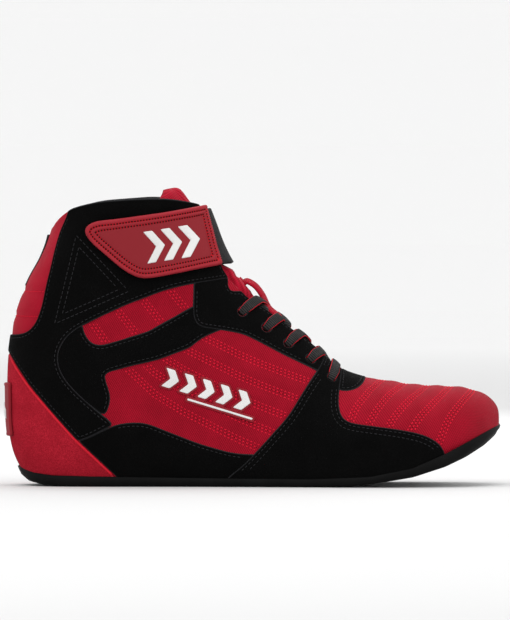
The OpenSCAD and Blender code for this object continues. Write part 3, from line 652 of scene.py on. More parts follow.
class Region:
    """The part of the form where a field is positive, between two sections and two ring places."""

    def __init__(self, field, t_span=(0, LAST), q_span=(-1, 1), step=1.0, spacing=1.3, smallest=5.0):
        self.field = field
        self.t_span, self.q_span = t_span, q_span
        rows = int((t_span[1] - t_span[0]) * T_SCALE / step) + 2
        columns = int((q_span[1] - q_span[0]) * Q_SCALE / step) + 2
        t, q = np.meshgrid(np.linspace(*t_span, rows), np.linspace(*q_span, columns), indexing="ij")
        values = self.at(t.ravel(), q.ravel()).reshape(t.shape)
        padded = np.full((rows + 2, columns + 2), -1.0)
        padded[1:-1, 1:-1] = values
        self.loops = []
        for loop in contour(padded):
            places = np.clip(loop - 1, 0, [rows - 1, columns - 1])
            lt = t_span[0] + places[:, 0] / (rows - 1) * (t_span[1] - t_span[0])
            lq = q_span[0] + places[:, 1] / (columns - 1) * (q_span[1] - q_span[0])
            p = look(POINT, lt, lq)
            length = run_length(np.append(p, p[:1], axis=0))
            if length[-1] < smallest:
                continue
            even = np.linspace(0, length[-1], max(8, round(length[-1] / spacing)) + 1)[:-1]
            lt = np.interp(even, length, np.append(lt, lt[0]))
            lq = np.interp(even, length, np.append(lq, lq[0]))
            self.loops.append(self.facing_in(lt, lq))
        self.starts = np.concatenate([skin(lt, lq, 0) for lt, lq, _ in self.loops])
        self.ends = np.concatenate([np.roll(skin(lt, lq, 0), -1, axis=0) for lt, lq, _ in self.loops])
        sizes = [len(lt) for lt, _, _ in self.loops]
        offsets = np.cumsum([0] + sizes[:-1])
        self.before = np.concatenate([o + (np.arange(n) - 1) % n for o, n in zip(offsets, sizes)])
        self.tree = KDTree(len(self.starts))
        for k, p in enumerate(self.starts):
            self.tree.insert(p, k)
        self.tree.balance()

    def at(self, t, q):
        return self.field(look(POINT, t, q))

    def facing_in(self, t, q):
        """A loop with, at each place, the direction along the form that leads away from the edge."""
        p = look(POINT, t, q)
        along = np.roll(p, -1, axis=0) - np.roll(p, 1, axis=0)
        inward = unit(np.cross(normal_at(t, q), along))
        ahead, behind = (self.at(*move(t, q, inward * step)).mean() for step in (0.8, -0.8))
        return t, q, inward if ahead > behind else -inward

    def edge_distance(self, t, q):
        p = look(POINT, t, q)
        best = np.full(len(p), 1e9)
        near = np.array([self.tree.find(x)[1] for x in p])
        for k in (near, self.before[near]):
            a, b = self.starts[k], self.ends[k]
            d = b - a
            u = np.clip(((p - a) * d).sum(1) / ((d * d).sum(1) + 1e-9), 0, 1)[:, None]
            best = np.minimum(best, np.linalg.norm(p - a - u * d, axis=1))
        return best

    def inset(self, distance):
        """For each loop, the places at this distance inside it, in order."""
        for t, q, inward in self.loops:
            it, iq = move(t, q, inward * distance)
            real = (self.edge_distance(it, iq) > distance * 0.93 - 0.03) & (self.at(it, iq) > 0)
            yield it[real], iq[real]

    def triangles(self, insets, grain):
        """(t, q) of the vertices, which of them are on the edge, and the faces."""
        t = np.concatenate([lt for lt, _, _ in self.loops])
        q = np.concatenate([lq for _, lq, _ in self.loops])
        edges, first = [], 0
        for lt, _, _ in self.loops:
            n = len(lt)
            edges += [(first + k, first + (k + 1) % n) for k in range(n)]
            first += n
        for distance in insets:
            for it, iq in self.inset(distance):
                t, q = np.append(t, it), np.append(q, iq)
        rows = np.arange(*self.t_span, grain / T_SCALE)
        columns = np.arange(*self.q_span, grain / Q_SCALE)
        gt, gq = (g.ravel() for g in np.meshgrid(rows, columns, indexing="ij"))
        deep = (insets[-1] if insets else 0) + grain * 0.45
        inside = self.at(gt, gq) > deep * 0.5
        gt, gq = gt[inside], gq[inside]
        inside = self.edge_distance(gt, gq) > deep
        t, q = np.append(t, gt[inside]), np.append(q, gq[inside])
        closest = 0.22
        cells = np.round(np.stack([t * T_SCALE, q * Q_SCALE], axis=1) / closest).astype(int)
        _, keep = np.unique(cells, axis=0, return_index=True)
        keep = np.union1d(np.arange(first), keep)
        t, q = t[keep], q[keep]
        flat = [Vector((a * T_SCALE, b * Q_SCALE)) for a, b in zip(t, q)]
        verts, _, faces, origin, _, _ = delaunay_2d_cdt(flat, edges, [], 0, 1e-5)
        edge = np.array([bool(o) and min(o) < first for o in origin])
        t = np.array([v.x for v in verts]) / T_SCALE
        q = np.array([v.y for v in verts]) / Q_SCALE
        faces = np.array([f for f in faces if len(f) == 3])
        middle = look(POINT, t[faces].mean(axis=1), q[faces].mean(axis=1))
        return t, q, edge, faces[self.field(middle) > 0]


def new_object(name, verts, faces, mat, uvs=None, face_mats=None):
    """A smooth object from millimetre vertices; uvs is {map name: two numbers for each vertex}."""
    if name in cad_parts:
        name += "_visual"
    mesh = bpy.data.meshes.new(name)
    mesh.from_pydata((np.asarray(verts) * MM).tolist(), [], [list(map(int, f)) for f in faces])
    for extra in mat if isinstance(mat, list) else [mat]:
        mesh.materials.append(extra)
    if face_mats is not None:
        mesh.polygons.foreach_set("material_index", face_mats)
    corners = np.empty(len(mesh.loops), int)
    mesh.loops.foreach_get("vertex_index", corners)
    for key, values in (uvs or {}).items():
        layer = mesh.uv_layers.new(name=key)
        layer.data.foreach_set("uv", np.asarray(values, float)[corners].ravel())
    mesh.polygons.foreach_set("use_smooth", [True] * len(mesh.polygons))
    mesh.update()
    made = bpy.data.objects.new(name, mesh)
    bpy.context.collection.objects.link(made)
    return made


def side_uv(t, q):
    return look(POINT, t, q)[:, [0, 2]]


def form_uv(t, q):
    half_ring = np.linalg.norm(look(AROUND, t, q), axis=1)
    return np.stack([t * T_SCALE, q * half_ring], axis=1)


def back_uv(t, q):
    """As form_uv, but even about the back line."""
    half_ring = np.linalg.norm(look(AROUND, t, q), axis=1)
    return np.stack([t * T_SCALE, (q - 1) * half_ring], axis=1)


def closed_sheet(name, high, low, faces, mat, uv, edge):
    """A closed piece from two sheets with the same faces, joined by walls where the sheets end."""
    n = len(high)
    pairs = np.concatenate([faces[:, [0, 1]], faces[:, [1, 2]], faces[:, [2, 0]]])
    seen = {tuple(p) for p in pairs.tolist()}
    walls = [(b, a, a + n, b + n) for a, b in seen if (b, a) not in seen]
    all_faces = faces.tolist() + (faces[:, ::-1] + n).tolist() + walls
    uvs = {"mm": np.tile(uv, (2, 1)), "edge": np.tile(np.stack([edge, edge], axis=1), (2, 1))}
    return new_object(name, np.concatenate([high, low]), all_faces, mat, uvs)


def panel(name, region, base, height, mat, insets=(0.35, 0.8, 1.5, 2.2, 3.0), grain=2.4, uv=side_uv):
    """A closed piece over a region, from depth base up by height(t, q, edge distance)."""
    t, q, edge, faces = region.triangles(insets, grain)
    distance = np.where(edge, 0, region.edge_distance(t, q))
    low = skin(t, q, base(t, q) if callable(base) else base)
    high = low + normal_at(t, q) * height(t, q, distance)[:, None]
    a, b, c = (high[faces[:, k]] for k in range(3))
    if (np.cross(b - a, c - a) * normal_at(t, q)[faces[:, 0]]).sum(1).mean() < 0:
        faces = faces[:, ::-1]
    return closed_sheet(name, high, low, faces, mat, uv(t, q), distance)


def edge_round(d, thick, radius, wall=0.45):
    """Thickness at an edge distance: a wall at the edge, then a rounded shoulder."""
    u = np.clip(d / radius, 0, 1)
    return thick * (wall + (1 - wall) * np.sqrt(np.maximum(0, 1 - (1 - u) ** 2)))


def strip_faces(count, sides, first=0):
    """The faces of a closed tube of rings, with its two ends."""
    faces = [
        (first + r * sides + k, first + r * sides + (k + 1) % sides,
         first + (r + 1) * sides + (k + 1) % sides, first + (r + 1) * sides + k)
        for r in range(count - 1) for k in range(sides)
    ]
    faces.append(tuple(first + k for k in reversed(range(sides))))
    faces.append(tuple(first + (count - 1) * sides + k for k in range(sides)))
    return faces


def rounded_tape(thick, radius=0.5, wall=0.45):
    """The height function of an even sheet with a rounded edge."""
    return lambda t, q, d: edge_round(d, thick, radius, wall)


THREAD_SIDES = 6
THREAD_FLAT = 0.75       # a thread's height as a share of its width
LONGEST_GAP = 3.5        # a wider gap between two places ends a run of stitches


class Stitches:
    """Many small thread capsules in one mesh."""

    def __init__(self):
        self.verts, self.faces, self.count, self.kinds = [], [], 0, []

    def add(self, centre, along, up, length, radius, kind):
        along = unit(along)
        wide = unit(np.cross(up, along))
        up = np.cross(along, wide)
        turn = np.arange(THREAD_SIDES) * 2 * math.pi / THREAD_SIDES
        round_end = radius / length * 0.7
        rings = [(-0.5, 0.35), (-0.5 + round_end, 1), (0.5 - round_end, 1), (0.5, 0.35)]
        for share, size in rings:
            self.verts.append(
                centre + along * share * length
                + radius * size * (np.cos(turn)[:, None] * wide + THREAD_FLAT * np.sin(turn)[:, None] * up)
            )
        faces = strip_faces(len(rings), THREAD_SIDES, self.count)
        self.faces += faces
        self.kinds += [kind] * len(faces)
        self.count += len(rings) * THREAD_SIDES

    def run(self, t, q, depth, pitch=3.0, length=2.0, radius=0.28, keep=None, kind=0, start=0.5):
        """Stitches along places on the form, broken where the places are far apart."""
        if len(t) < 3:
            return
        p = skin(t, q, depth)
        gaps = np.linalg.norm(np.diff(p, axis=0), axis=1)
        for part in np.split(np.arange(len(t)), np.nonzero(gaps > LONGEST_GAP)[0] + 1):
            if len(part) < 3:
                continue
            s = run_length(p[part])
            for at in np.arange(pitch * start, s[-1] - length * 0.3, pitch):
                reach = [at - length / 2, at, at + length / 2]
                ts, qs = np.interp(reach, s, t[part]), np.interp(reach, s, q[part])
                ends = skin(ts, qs, depth)
                if keep is not None and not keep(ends[1:2])[0]:
                    continue
                along = ends[2] - ends[0]
                if np.linalg.norm(along) > 1e-6:
                    self.add(ends[1], along, normal_at(ts, qs)[1], length, radius, kind)

    def object(self, name, mats):
        return new_object(name, np.concatenate(self.verts), self.faces, mats, None, self.kinds)


def finish_piece(made, slot, *nodes, body="boot", padded=None):
    """Hide the CAD nodes that the piece replaces and attach it to its body; slot and padded are not used."""
    for node in nodes:
        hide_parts(node)
    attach(made, body)


# ---------------------------------------------------------------- mesh shell, quilted in rows

VAMP_ARC_R = 62
VAMP_ARC_Y = 4
VAMP_CENTRES = [15 + 13.2 * k for k in range(5)]     # x of each arc's centre
QUARTER_ROW = np.array([
    [-75, 121], [-57, 104], [-40, 93.5], [-22, 84.5], [-8, 77.5], [5, 72], [18, 67], [32, 62], [50, 57],
])
QUARTER_DROPS = [0, 12.4, 24.8, 37.2, 49.6]
WINDOW_ROWS = [
    [(-49, 116), (-36, 101)], [(-65, 111), (-51, 94)], [(-80, 105), (-67, 89)], [(-94, 97), (-84, 83)],
]
ROW_GAP = 1.8        # between a row's lines of stitches
QUILT_LIFT = 0.15
MESH_BASE = -1.2
MESH_INSETS = (0.6, 1.4)


def vamp_row_distance(p):
    x = p[:, 0][:, None] - np.array(VAMP_CENTRES)
    off = np.abs(np.hypot(x, p[:, 1][:, None] - VAMP_ARC_Y) - VAMP_ARC_R)
    return np.where(x > 0, off, 99).min(axis=1)


def line_distance(line, x, z):
    """Distance in side view to a line of places."""
    best = np.full(x.shape, 99.0)
    for (ax, az), (bx, bz) in zip(line[:-1], line[1:]):
        dx, dz = bx - ax, bz - az
        u = np.clip(((x - ax) * dx + (z - az) * dz) / (dx * dx + dz * dz), 0, 1)
        best = np.minimum(best, np.hypot(x - ax - u * dx, z - az - u * dz))
    return best


def in_window(p):
    """True above the mid overlay, where the quilting rows stand steeply."""
    return (p[:, 0] < -34.5) & (p[:, 2] > 72 + 0.28 * (p[:, 0] + 84))


def quarter_row_distance(p):
    def nearest(rows):
        return np.min([line_distance(np.array(row), p[:, 0], p[:, 2]) for row in rows], axis=0)

    quarter_rows = [QUARTER_ROW - [0, drop] for drop in QUARTER_DROPS]
    return np.where(in_window(p), nearest(WINDOW_ROWS), nearest(quarter_rows))


def quilted(row_distance, flat=1.25, puff=0.75, width=3.6):
    """The mesh's thickness, which dips along the quilting rows."""
    def height(t, q, d):
        return flat + puff * (1 - hump(row_distance(look(POINT, t, q)), 0, width))
    return height


def dotted_row(stitches, t, q, keep):
    """A quilting row: three lines of short bright stitches, half a pitch apart, with needle holes between."""
    pitch = 2.4
    across = unit(np.cross(normal_at(t, q), np.gradient(look(POINT, t, q), axis=0)))
    for shift, start in ((-ROW_GAP, 0.5), (0, 1.0), (ROW_GAP, 0.5)):
        st, sq = move(t, q, across * shift)
        stitches.run(st, sq, QUILT_LIFT, pitch, 1.35, 0.36, keep, 0, start)
        stitches.run(st, sq, QUILT_LIFT - 0.1, pitch, 0.55, 0.3, keep, 1, start + 0.5)


def throat_tab(p):
    """Positive inside the rounded tab in front of the throat, which is a little longer than high."""
    x, z, radius, stretch = 55, 66, 10.6, 1.18
    return radius - np.hypot((p[:, 0] - x) / stretch, p[:, 2] - z)


def clear_mesh(p):
    """True where neither an overlay nor an edge covers the mesh."""
    covers = [ANKLE, MID, EYESTAY, FOREFOOT, FOXING, COUNTER]
    hidden = np.max([polygon_field(o, p[:, 0], p[:, 2]) for o in covers], axis=0)
    off_tab = (p[:, 0] <= 50) | (throat_tab(p) < -0.8)
    return (hidden < -0.8) & (above_sole(p) > 2.5) & (clear_of_throat(p) > 1) & off_tab


def side_path(points, side, spacing=1.0):
    """Places on one side of the form along a line in side view."""
    points = np.array(points, float)
    length = run_length(points)
    even = np.arange(0, length[-1], spacing)
    line = np.stack([np.interp(even, length, points[:, k]) for k in range(2)], axis=1)
    t, q = np.array([locate(p, side) for p in line]).T
    for _ in range(2):
        gap = line - look(POINT, t, q)[:, [0, 2]]
        t, q = move(t, q, np.stack([gap[:, 0], np.zeros(len(t)), gap[:, 1]], axis=1))
    return t, q


def plan_path(line):
    """Places on top of the foot along a line in plan."""
    first, last, every_row, every_column = 80, 480, 4, 2         # the part of the tables that faces up
    upper = POINT[:560:every_row, first:last:every_column]
    flat = upper.reshape(-1, 3)
    places = []
    for x, y in line:
        gaps = np.hypot(flat[:, 0] - x, flat[:, 1] - y) + np.where(flat[:, 2] < 20, 50, 0)
        k = int(gaps.argmin())
        if gaps[k] < 1.5:
            row, column = divmod(k, upper.shape[1])
            places.append((row * every_row * LAST / T_STEPS, (column * every_column + first) / Q_STEPS - 1))
    return [smoothed(values, 3) for values in np.array(places).T]


def make_shell():
    upper = (clear_of_throat, clear_of_eyelets)
    vamp = Region(both(in_side_view(VAMP), below_rim, above_sole, *upper), FOOT)
    finish_piece(panel("vamp_mesh", vamp, MESH_BASE, quilted(vamp_row_distance), MESH_RED, MESH_INSETS, 2.2,
                       form_uv), "mesh_red", "vamp_mesh")
    rows = Stitches()
    angles = np.radians(np.arange(-75, 75.1, 1.0))
    arc = VAMP_ARC_R * np.stack([np.cos(angles), np.sin(angles)], axis=1)
    for centre in VAMP_CENTRES:
        dotted_row(rows, *plan_path(arc + [centre, VAMP_ARC_Y]), clear_mesh)
    finish_piece(rows.object("vamp_quilting", [THREAD_RED, THREAD_DARK]), "mesh_red")

    for word, (side, q_span) in SIDES.items():
        field = both(on_side(side), lambda p: below_rim(p) - 1.6, above_sole, *upper,
                     outside(in_side_view(VAMP)), outside(in_side_view(HEEL_PANEL)))
        name = "quarter_mesh_" + word
        region = Region(field, BACK, q_span)
        quilt = quilted(quarter_row_distance)
        finish_piece(panel(name, region, MESH_BASE, quilt, MESH_RED, MESH_INSETS, 2.3), "mesh_red", name)
        rows = Stitches()
        for drop in QUARTER_DROPS:
            line = QUARTER_ROW - [0, drop]
            dotted_row(rows, *side_path(line, side), lambda p: clear_mesh(p) & ~in_window(p))
        for line in WINDOW_ROWS:
            dotted_row(rows, *side_path(line, side), lambda p: clear_mesh(p) & in_window(p))
        finish_piece(rows.object("quarter_quilting_" + word, [THREAD_RED, THREAD_DARK]), "mesh_red")


def make_heel_pad():
    """The padded panel behind the ankle, with two sewn channels across it."""
    seams = (99.7, 114)
    q_span = (0.3, 1.7)
    heel_panel = in_side_view(HEEL_PANEL)

    def puffed(t, q, d):
        dip = sum(hump(look(POINT, t, q)[:, 2], seam, 1.6) for seam in seams)
        return 1.0 + 1.5 * (1 - np.exp(-d / 7)) - 0.8 * dip * (1 - np.exp(-d / 4))

    def sewn(p):
        return (in_side_view(ANKLE)(p) < -0.5) & (heel_panel(p) > 1)

    region = Region(both(heel_panel, below_rim), UPPER, q_span)
    finish_piece(panel("heel_pad", region, MESH_BASE, puffed, HEEL_MESH, (*MESH_INSETS, 2.6), 1.7, back_uv),
                 "mesh_red", "heel_mesh", padded=0.6)
    rows = Stitches()
    for seam in seams:
        q = np.linspace(*q_span, 240)
        up = np.linspace(*UPPER, 200)
        t = np.array([np.interp(seam, look(POINT, up, np.full(200, place))[:, 2], up) for place in q])
        rows.run(t, q, 0.65, 2.0, 1.1, 0.28, sewn)
    finish_piece(rows.object("heel_pad_seams", [THREAD_RED]), "mesh_red")


# ---------------------------------------------------------------- suede

SUEDE_BASE = 0.15
SUEDE_T = 1.1
TOP_SUEDE_T = 1.5       # the overlays whose edges lie on top of others
LAP = 0.9               # how far a lower overlay runs under the one on top of it


def suede_height(thick, groove_at):
    """Thickness: a rounded edge, a shallow groove under each sewn row and a ring round each eyelet."""
    def height(t, q, d):
        groove = sum(0.14 * hump(d, at, 0.5) for at in groove_at)
        eyelet = clear_of_eyelets(look(POINT, t, q))
        return edge_round(d, thick, 0.9) - groove * (eyelet > 2.8) + 0.3 * hump(eyelet, 1.1, 0.55)
    return height


def sew_edge(stitches, region, distances, lift, keep=None, **how):
    for distance in distances:
        for t, q in region.inset(distance):
            stitches.run(t, q, lift, keep=keep, **how)


def overlay(name, region, slot="suede_black", mat=SUEDE_BLACK, keep=None, rows=(2.2,), thick=SUEDE_T):
    """A suede panel that replaces the node of its name, sewn along its edge."""
    finish_piece(panel(name, region, SUEDE_BASE, suede_height(thick, rows), mat), slot, name)
    stitches = Stitches()
    sew_edge(stitches, region, rows, SUEDE_BASE + thick - 0.06, keep, pitch=2.7, length=1.6, radius=0.19)
    if stitches.count:
        finish_piece(stitches.object(name + "_stitching", [THREAD_GREY]), slot)


def in_the_open(*covers):
    """Where an edge is sewn: off the sole, the collar's edge and the back seam, and not under a cover."""
    def keep(p):
        clear = [above_sole(p) - 5, np.abs(p[:, 1]) - 3, below_rim(p) - 4, clear_of_eyelets(p) - 3.2]
        clear += [-polygon_field(cover, p[:, 0], p[:, 2]) - 3.2 for cover in covers]
        return np.min(clear, axis=0) > 0
    return keep


def make_suede():
    ankle, mid, eyestay, forefoot, foxing, counter = (
        in_side_view(o) for o in (ANKLE, MID, EYESTAY, FOREFOOT, FOXING, COUNTER))
    under_ankle, under_forefoot = outside(ankle, -LAP), outside(forefoot, -LAP)
    off_counter = outside(counter, 0.9)
    for word, (side, q_span) in SIDES.items():
        here = (on_side(side), below_rim, above_sole, clear_of_throat)

        def put(name, t_span, sewn, *fields, **how):
            overlay(name + word, Region(both(*fields, *here), t_span, q_span, 0.8), keep=sewn, **how)

        put("ankle_overlay_", BACK, in_the_open(), ankle, off_counter, thick=TOP_SUEDE_T)
        put("forefoot_overlay_", FOOT, lambda p: (above_sole(p) > 6.5) & (clear_of_eyelets(p) > 5.5),
            forefoot, clear_of_eyelets, thick=TOP_SUEDE_T, rows=(2.0, 4.6))
        put("eyestay_", (7, 17), in_the_open(ANKLE, FOREFOOT), eyestay, under_ankle, under_forefoot,
            clear_of_eyelets, thick=1.3)
        put("mid_overlay_", BACK, in_the_open(ANKLE, EYESTAY), mid, under_ankle, outside(eyestay, -LAP))
        put("foxing_", BACK, in_the_open(ANKLE, FOREFOOT, COUNTER), foxing, off_counter, under_ankle,
            under_forefoot)
    heel = Region(both(counter, above_sole), BACK, (0.2, 1.8))
    overlay("heel_counter", heel, "suede_red", SUEDE_RED, rows=())
    tab = both(throat_tab, under_forefoot, clear_of_throat, lambda p: p[:, 0] - 48)
    overlay("throat_tab", Region(tab, FOOT, (-1, 1), 0.8), rows=(2.4,))


def make_ankle_triangle():
    """Two dashed triangles sewn into the ankle overlay, one inside the other."""
    outer = np.array([(-102, 147), (-72, 114.5), (-115, 95.5)], float)
    middle = outer.mean(axis=0)
    stitches = Stitches()
    for side in (-1, 1):
        for share in (1.0, 0.76):
            corners = middle + (outer - middle) * share
            for a, b in zip(corners, np.roll(corners, -1, axis=0)):
                stitches.run(*side_path([a, b], side), SUEDE_BASE + TOP_SUEDE_T, 2.9, 1.9, 0.2)
    finish_piece(stitches.object("ankle_triangle_stitching", [THREAD_GREY]), "suede_black")


def tube_along(points, radius, sides=8):
    """Vertices and faces of a round tube along points."""
    along = unit(np.gradient(points, axis=0))
    wide = unit(np.cross(along, np.array([0.3, 0.2, 1.0])))
    high = np.cross(wide, along)
    turn = (np.arange(sides) * 2 * math.pi / sides)[None, :, None]
    rings = points[:, None] + radius * (np.cos(turn) * wide[:, None] + np.sin(turn) * high[:, None])
    return rings.reshape(-1, 3), strip_faces(len(points), sides)


def make_heel_trims():
    """Piping along the counter's upper edge, the patch on the heel and the strip above it."""
    spacing, sides = 1.5, 8
    line = rounded(COUNTER_LINE, 5)
    line = line[(line[:, 0] < -79) & (line[:, 0] > -141.5)]
    lateral, medial = (
        np.array(sorted(look(POINT, *side_path(line, side, spacing)).tolist(), key=lambda p: p[0]))
        for side in (-1, 1))
    route = np.concatenate([lateral[::-1], medial])
    route = route + normal_at(*np.array([locate(p) for p in route]).T) * 1.1
    route = np.stack([smoothed(route[:, k], 2) for k in range(3)], axis=1)
    verts, faces = tube_along(route, 0.75, sides)
    uv = np.repeat(np.arange(len(route)) * spacing, sides)
    finish_piece(new_object("heel_piping", verts, faces, LACE_EDGE, {"mm": np.stack([uv, uv], axis=1)}),
                 "piping_red", "heel_piping")

    def on_patch(p):
        return np.min([13 - np.abs(p[:, 1]), p[:, 2] - 29.5, 60.5 - p[:, 2], -100 - p[:, 0]], axis=0)

    def patch_height(t, q, d):
        return edge_round(d, 1.6, 0.7) - 0.35 * soft_step(d, 1.8, 1 / 6)

    finish_piece(panel("heel_patch", Region(on_patch, UPPER, (0.5, 1.5), 0.7), 1.5, patch_height, RUBBER_RED,
                       (0.3, 0.7, 1.4, 1.8, 2.2), 2.0), "rubber_red", "heel_patch")

    def on_strip(p):
        return np.min([6 - np.abs(p[:, 1]), p[:, 2] - 117, 147.5 - p[:, 2]], axis=0)

    strip = Region(on_strip, (14, LAST), (0.7, 1.3), 0.7)
    made = panel("back_pull_strip", strip, 0.7, rounded_tape(1.1), WEBBING_BLACK, (0.3, 0.7), 1.6, form_uv)
    finish_piece(made, "webbing_black", "back_pull_strip")


# ---------------------------------------------------------------- emblems

def slanted_frame(centre, degrees):
    """A function that turns outlines about (0, 0) and moves them to a place in side view."""
    a = math.radians(degrees)

    def to_side_view(points):
        points = np.asarray(points, float)
        return np.stack([
            centre[0] + points[:, 0] * math.cos(a) - points[:, 1] * math.sin(a),
            centre[1] + points[:, 0] * math.sin(a) + points[:, 1] * math.cos(a),
        ], axis=1)
    return to_side_view


def chevron(x, half, arm, point):
    """A chevron that points to +x: its outline, from the tail's top round to the tail's inside."""
    return [(x, half), (x + arm, half), (x + arm + point, 0), (x + arm, -half), (x, -half), (x + point, 0)]


def outer_side_shapes(outlines, grow=0.0):
    """The region of the outer side inside any of the outlines, grown all round."""
    def field(p):
        return np.max([polygon_field(o, p[:, 0], p[:, 2]) for o in outlines], axis=0) + grow

    return Region(both(field, on_side(-1)), BACK, OUTER, 0.4, 0.6)


def put_emblem(name, region, base, thick, mat, slot, body="boot"):
    made = panel(name, region, base, rounded_tape(thick, 0.35, 0.6), mat, (0.2, 0.5), 1.2)
    finish_piece(made, slot, name, body=body)


SIDE_EMBLEM = slanted_frame((-22, 55.5), -17)
SIDE_SHAPES = [SIDE_EMBLEM(chevron(x, 5.5, 5.2, 4)) for x in (-31, -20, -9, 2, 13)]
SIDE_SHAPES.append(SIDE_EMBLEM([(-14, -9.2), (26, -9.2), (26, -8), (-14, -8)]))
TAB_EMBLEM = slanted_frame((-46, 142.5), 8)
TAB_SHAPES = [TAB_EMBLEM(chevron(x, 9.5, 5, 6)) for x in (-17.5, -8, 1.5)]


def make_emblems():
    backing = outer_side_shapes(SIDE_SHAPES, 1.2)
    put_emblem("side_emblem_backing", backing, 0.75, 0.25, RUBBER_RED, "rubber_red")
    put_emblem("side_emblem", outer_side_shapes(SIDE_SHAPES), 1.0, 0.45, PRINT_WHITE, "print_white")
    put_emblem("strap_emblem", outer_side_shapes(TAB_SHAPES), 5.5, 0.95, PRINT_WHITE, "print_white", "tab")
    mark = np.array(chevron(-5.5, 7.5, 5, 4.5), float)
    heel = Region(lambda p: polygon_field(mark, p[:, 2] - 45, p[:, 1]), UPPER, (0.6, 1.4), 0.4, 0.6)
    put_emblem("heel_emblem", heel, 2.75, 0.7, PRINT_WHITE, "print_white")


# ---------------------------------------------------------------- strap

TAB_BASE = 3.85
TAB_T = 2.5


def bands(d, low, high, soft=0.25 / 3):
    """1 between two edge distances, falling off softly."""
    return soft_step(d, low, soft) - soft_step(d, high, soft)


def make_strap():
    def lateral_of_fold(p):
        return -p[:, 1] - FOLD_Y - 0.4 - 0.08 * (165 - p[:, 2])

    def tab_height(t, q, d):
        sewn = 0.5 * bands(d, 2.2, 3.3) + 0.5 * bands(d, 4.9, 5.9)
        return edge_round(d, TAB_T, 1.0, 0.35) - sewn - 0.3 * bands(d, 5.9, 99)

    tab = Region(both(in_side_view(TAB), lateral_of_fold), UPPER, OUTER, 0.8)
    finish_piece(panel("strap_tab", tab, TAB_BASE, tab_height, RUBBER_TAB,
                       (0.25, 0.55, 0.9, 1.9, 2.2, 2.5, 3.0, 3.3, 3.6, 4.6, 4.9, 5.2, 5.6, 5.9, 6.3), 2.4),
                 "rubber_red", "strap_tab", body="tab")
    stitches = Stitches()
    sew_edge(stitches, tab, (2.75, 5.4), TAB_BASE + TAB_T - 0.3, pitch=1.75, length=1.15, radius=0.46)
    finish_piece(stitches.object("strap_tab_stitching", [THREAD_WINE]), "rubber_red", body="tab")

    tape_insets = (0.3, 0.8)
    hooks = Region(both(lambda p: in_side_view(TAB)(p) - 4, lambda p: -p[:, 1] - FOLD_Y - 3), UPPER, OUTER)
    finish_piece(panel("hook_pad", hooks, 2.7, rounded_tape(1.0), HOOK_TAPE, tape_insets),
                 "hook_tape", "hook_pad", body="tab")
    loops = Region(both(in_side_view(LOOP_PAD), on_side(-1)), UPPER, OUTER)
    finish_piece(panel("loop_pad", loops, 1.45, rounded_tape(0.95), LOOP_TAPE, tape_insets),
                 "loop_tape", "loop_pad")

    def ribbed(t, q, d):
        """Rounded at the webbing's own edges, not where its two parts lap on the front."""
        at_lap = np.abs(look(POINT, t, q)[:, 1] + 6) < 3.2
        return np.where(at_lap, 1.8, edge_round(d, 1.8, 0.6))

    def webbing_part(name, base, height, q_span, *fields):
        made = panel(name, Region(both(*fields), UPPER, q_span, 0.8), base, height, WEBBING_BLACK, (0.3, 0.7),
                     1.6, form_uv)
        return made

    made = webbing_part(
        "strap_webbing_medial", 1.65, ribbed, (-1, 0.4),
        lambda p: np.where(p[:, 1] > FOLD_Y, in_side_view(ANCHOR)(p), in_side_view(BAND)(p)),
        lambda p: p[:, 1] + 6)
    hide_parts("strap_anchor", "strap_band")
    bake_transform(made)
    made = webbing_part(
        "strap_webbing_lateral", 1.55, lambda t, q, d: ribbed(t, q, d) + 0.2, (0, 0.6),
        in_side_view(BAND + [-22, 0] * (BAND[:, :1] < -35)), lambda p: -4 - p[:, 1], lambda p: p[:, 1] + 30)
    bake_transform(made)

    stitches = Stitches()
    anchor = Region(both(in_side_view(ANCHOR), lambda p: p[:, 1] - FOLD_Y - 6), UPPER, INNER)
    sew_edge(stitches, anchor, (2.5,), 3.5, lambda p: p[:, 1] > FOLD_Y + 10,
             pitch=2.9, length=1.9, radius=0.24)
    finish_piece(stitches.object("strap_anchor_stitching", [THREAD_GREY]), "webbing_black")


# ---------------------------------------------------------------- tongue, keeper and laces

TONGUE_LOW = rounded([
    [58, 66], [50, 90], [20, 120], [-6, 150], [-70, 150], [-45, 112], [10, 60], [58, 50],
], 5)


def tongue_depths(t, q):
    """(inner, outer) depth of the tongue at a place on the form."""
    p = look(POINT, t, q)
    y, z = np.abs(p[:, 1]), p[:, 2]
    high = soft_step(z, 133, 2.2)                         # behind the strap and collar
    notch = np.clip(hump(z, 121, 9.5) * 1.5, 0, 1)        # above the top eyelets
    low_dome = -6.3 + 3.0 * soft_step(y, 6.8, -1.0)
    notch_dome = -6.3 + 6.9 * soft_step(y, 12.6, -0.8)
    outer = np.maximum(low_dome, low_dome + (notch_dome - low_dome) * notch)
    outer = outer - (0.8 * hump(z, 123.5, 1.0) + 0.3 * hump(z, 116, 0.8)) * (y < 13)      # two sewn creases
    outer = outer * (1 - high) + (-7.3 + 2.3 * soft_step(y, 15, -1.5)) * high
    inner = -10.5 * (1 - high) + -12.6 * high
    lean = 4.0 * (np.clip(z - 158, 0, 20) / 17) ** 2          # the top leans back from the shin
    return inner - lean, outer - lean


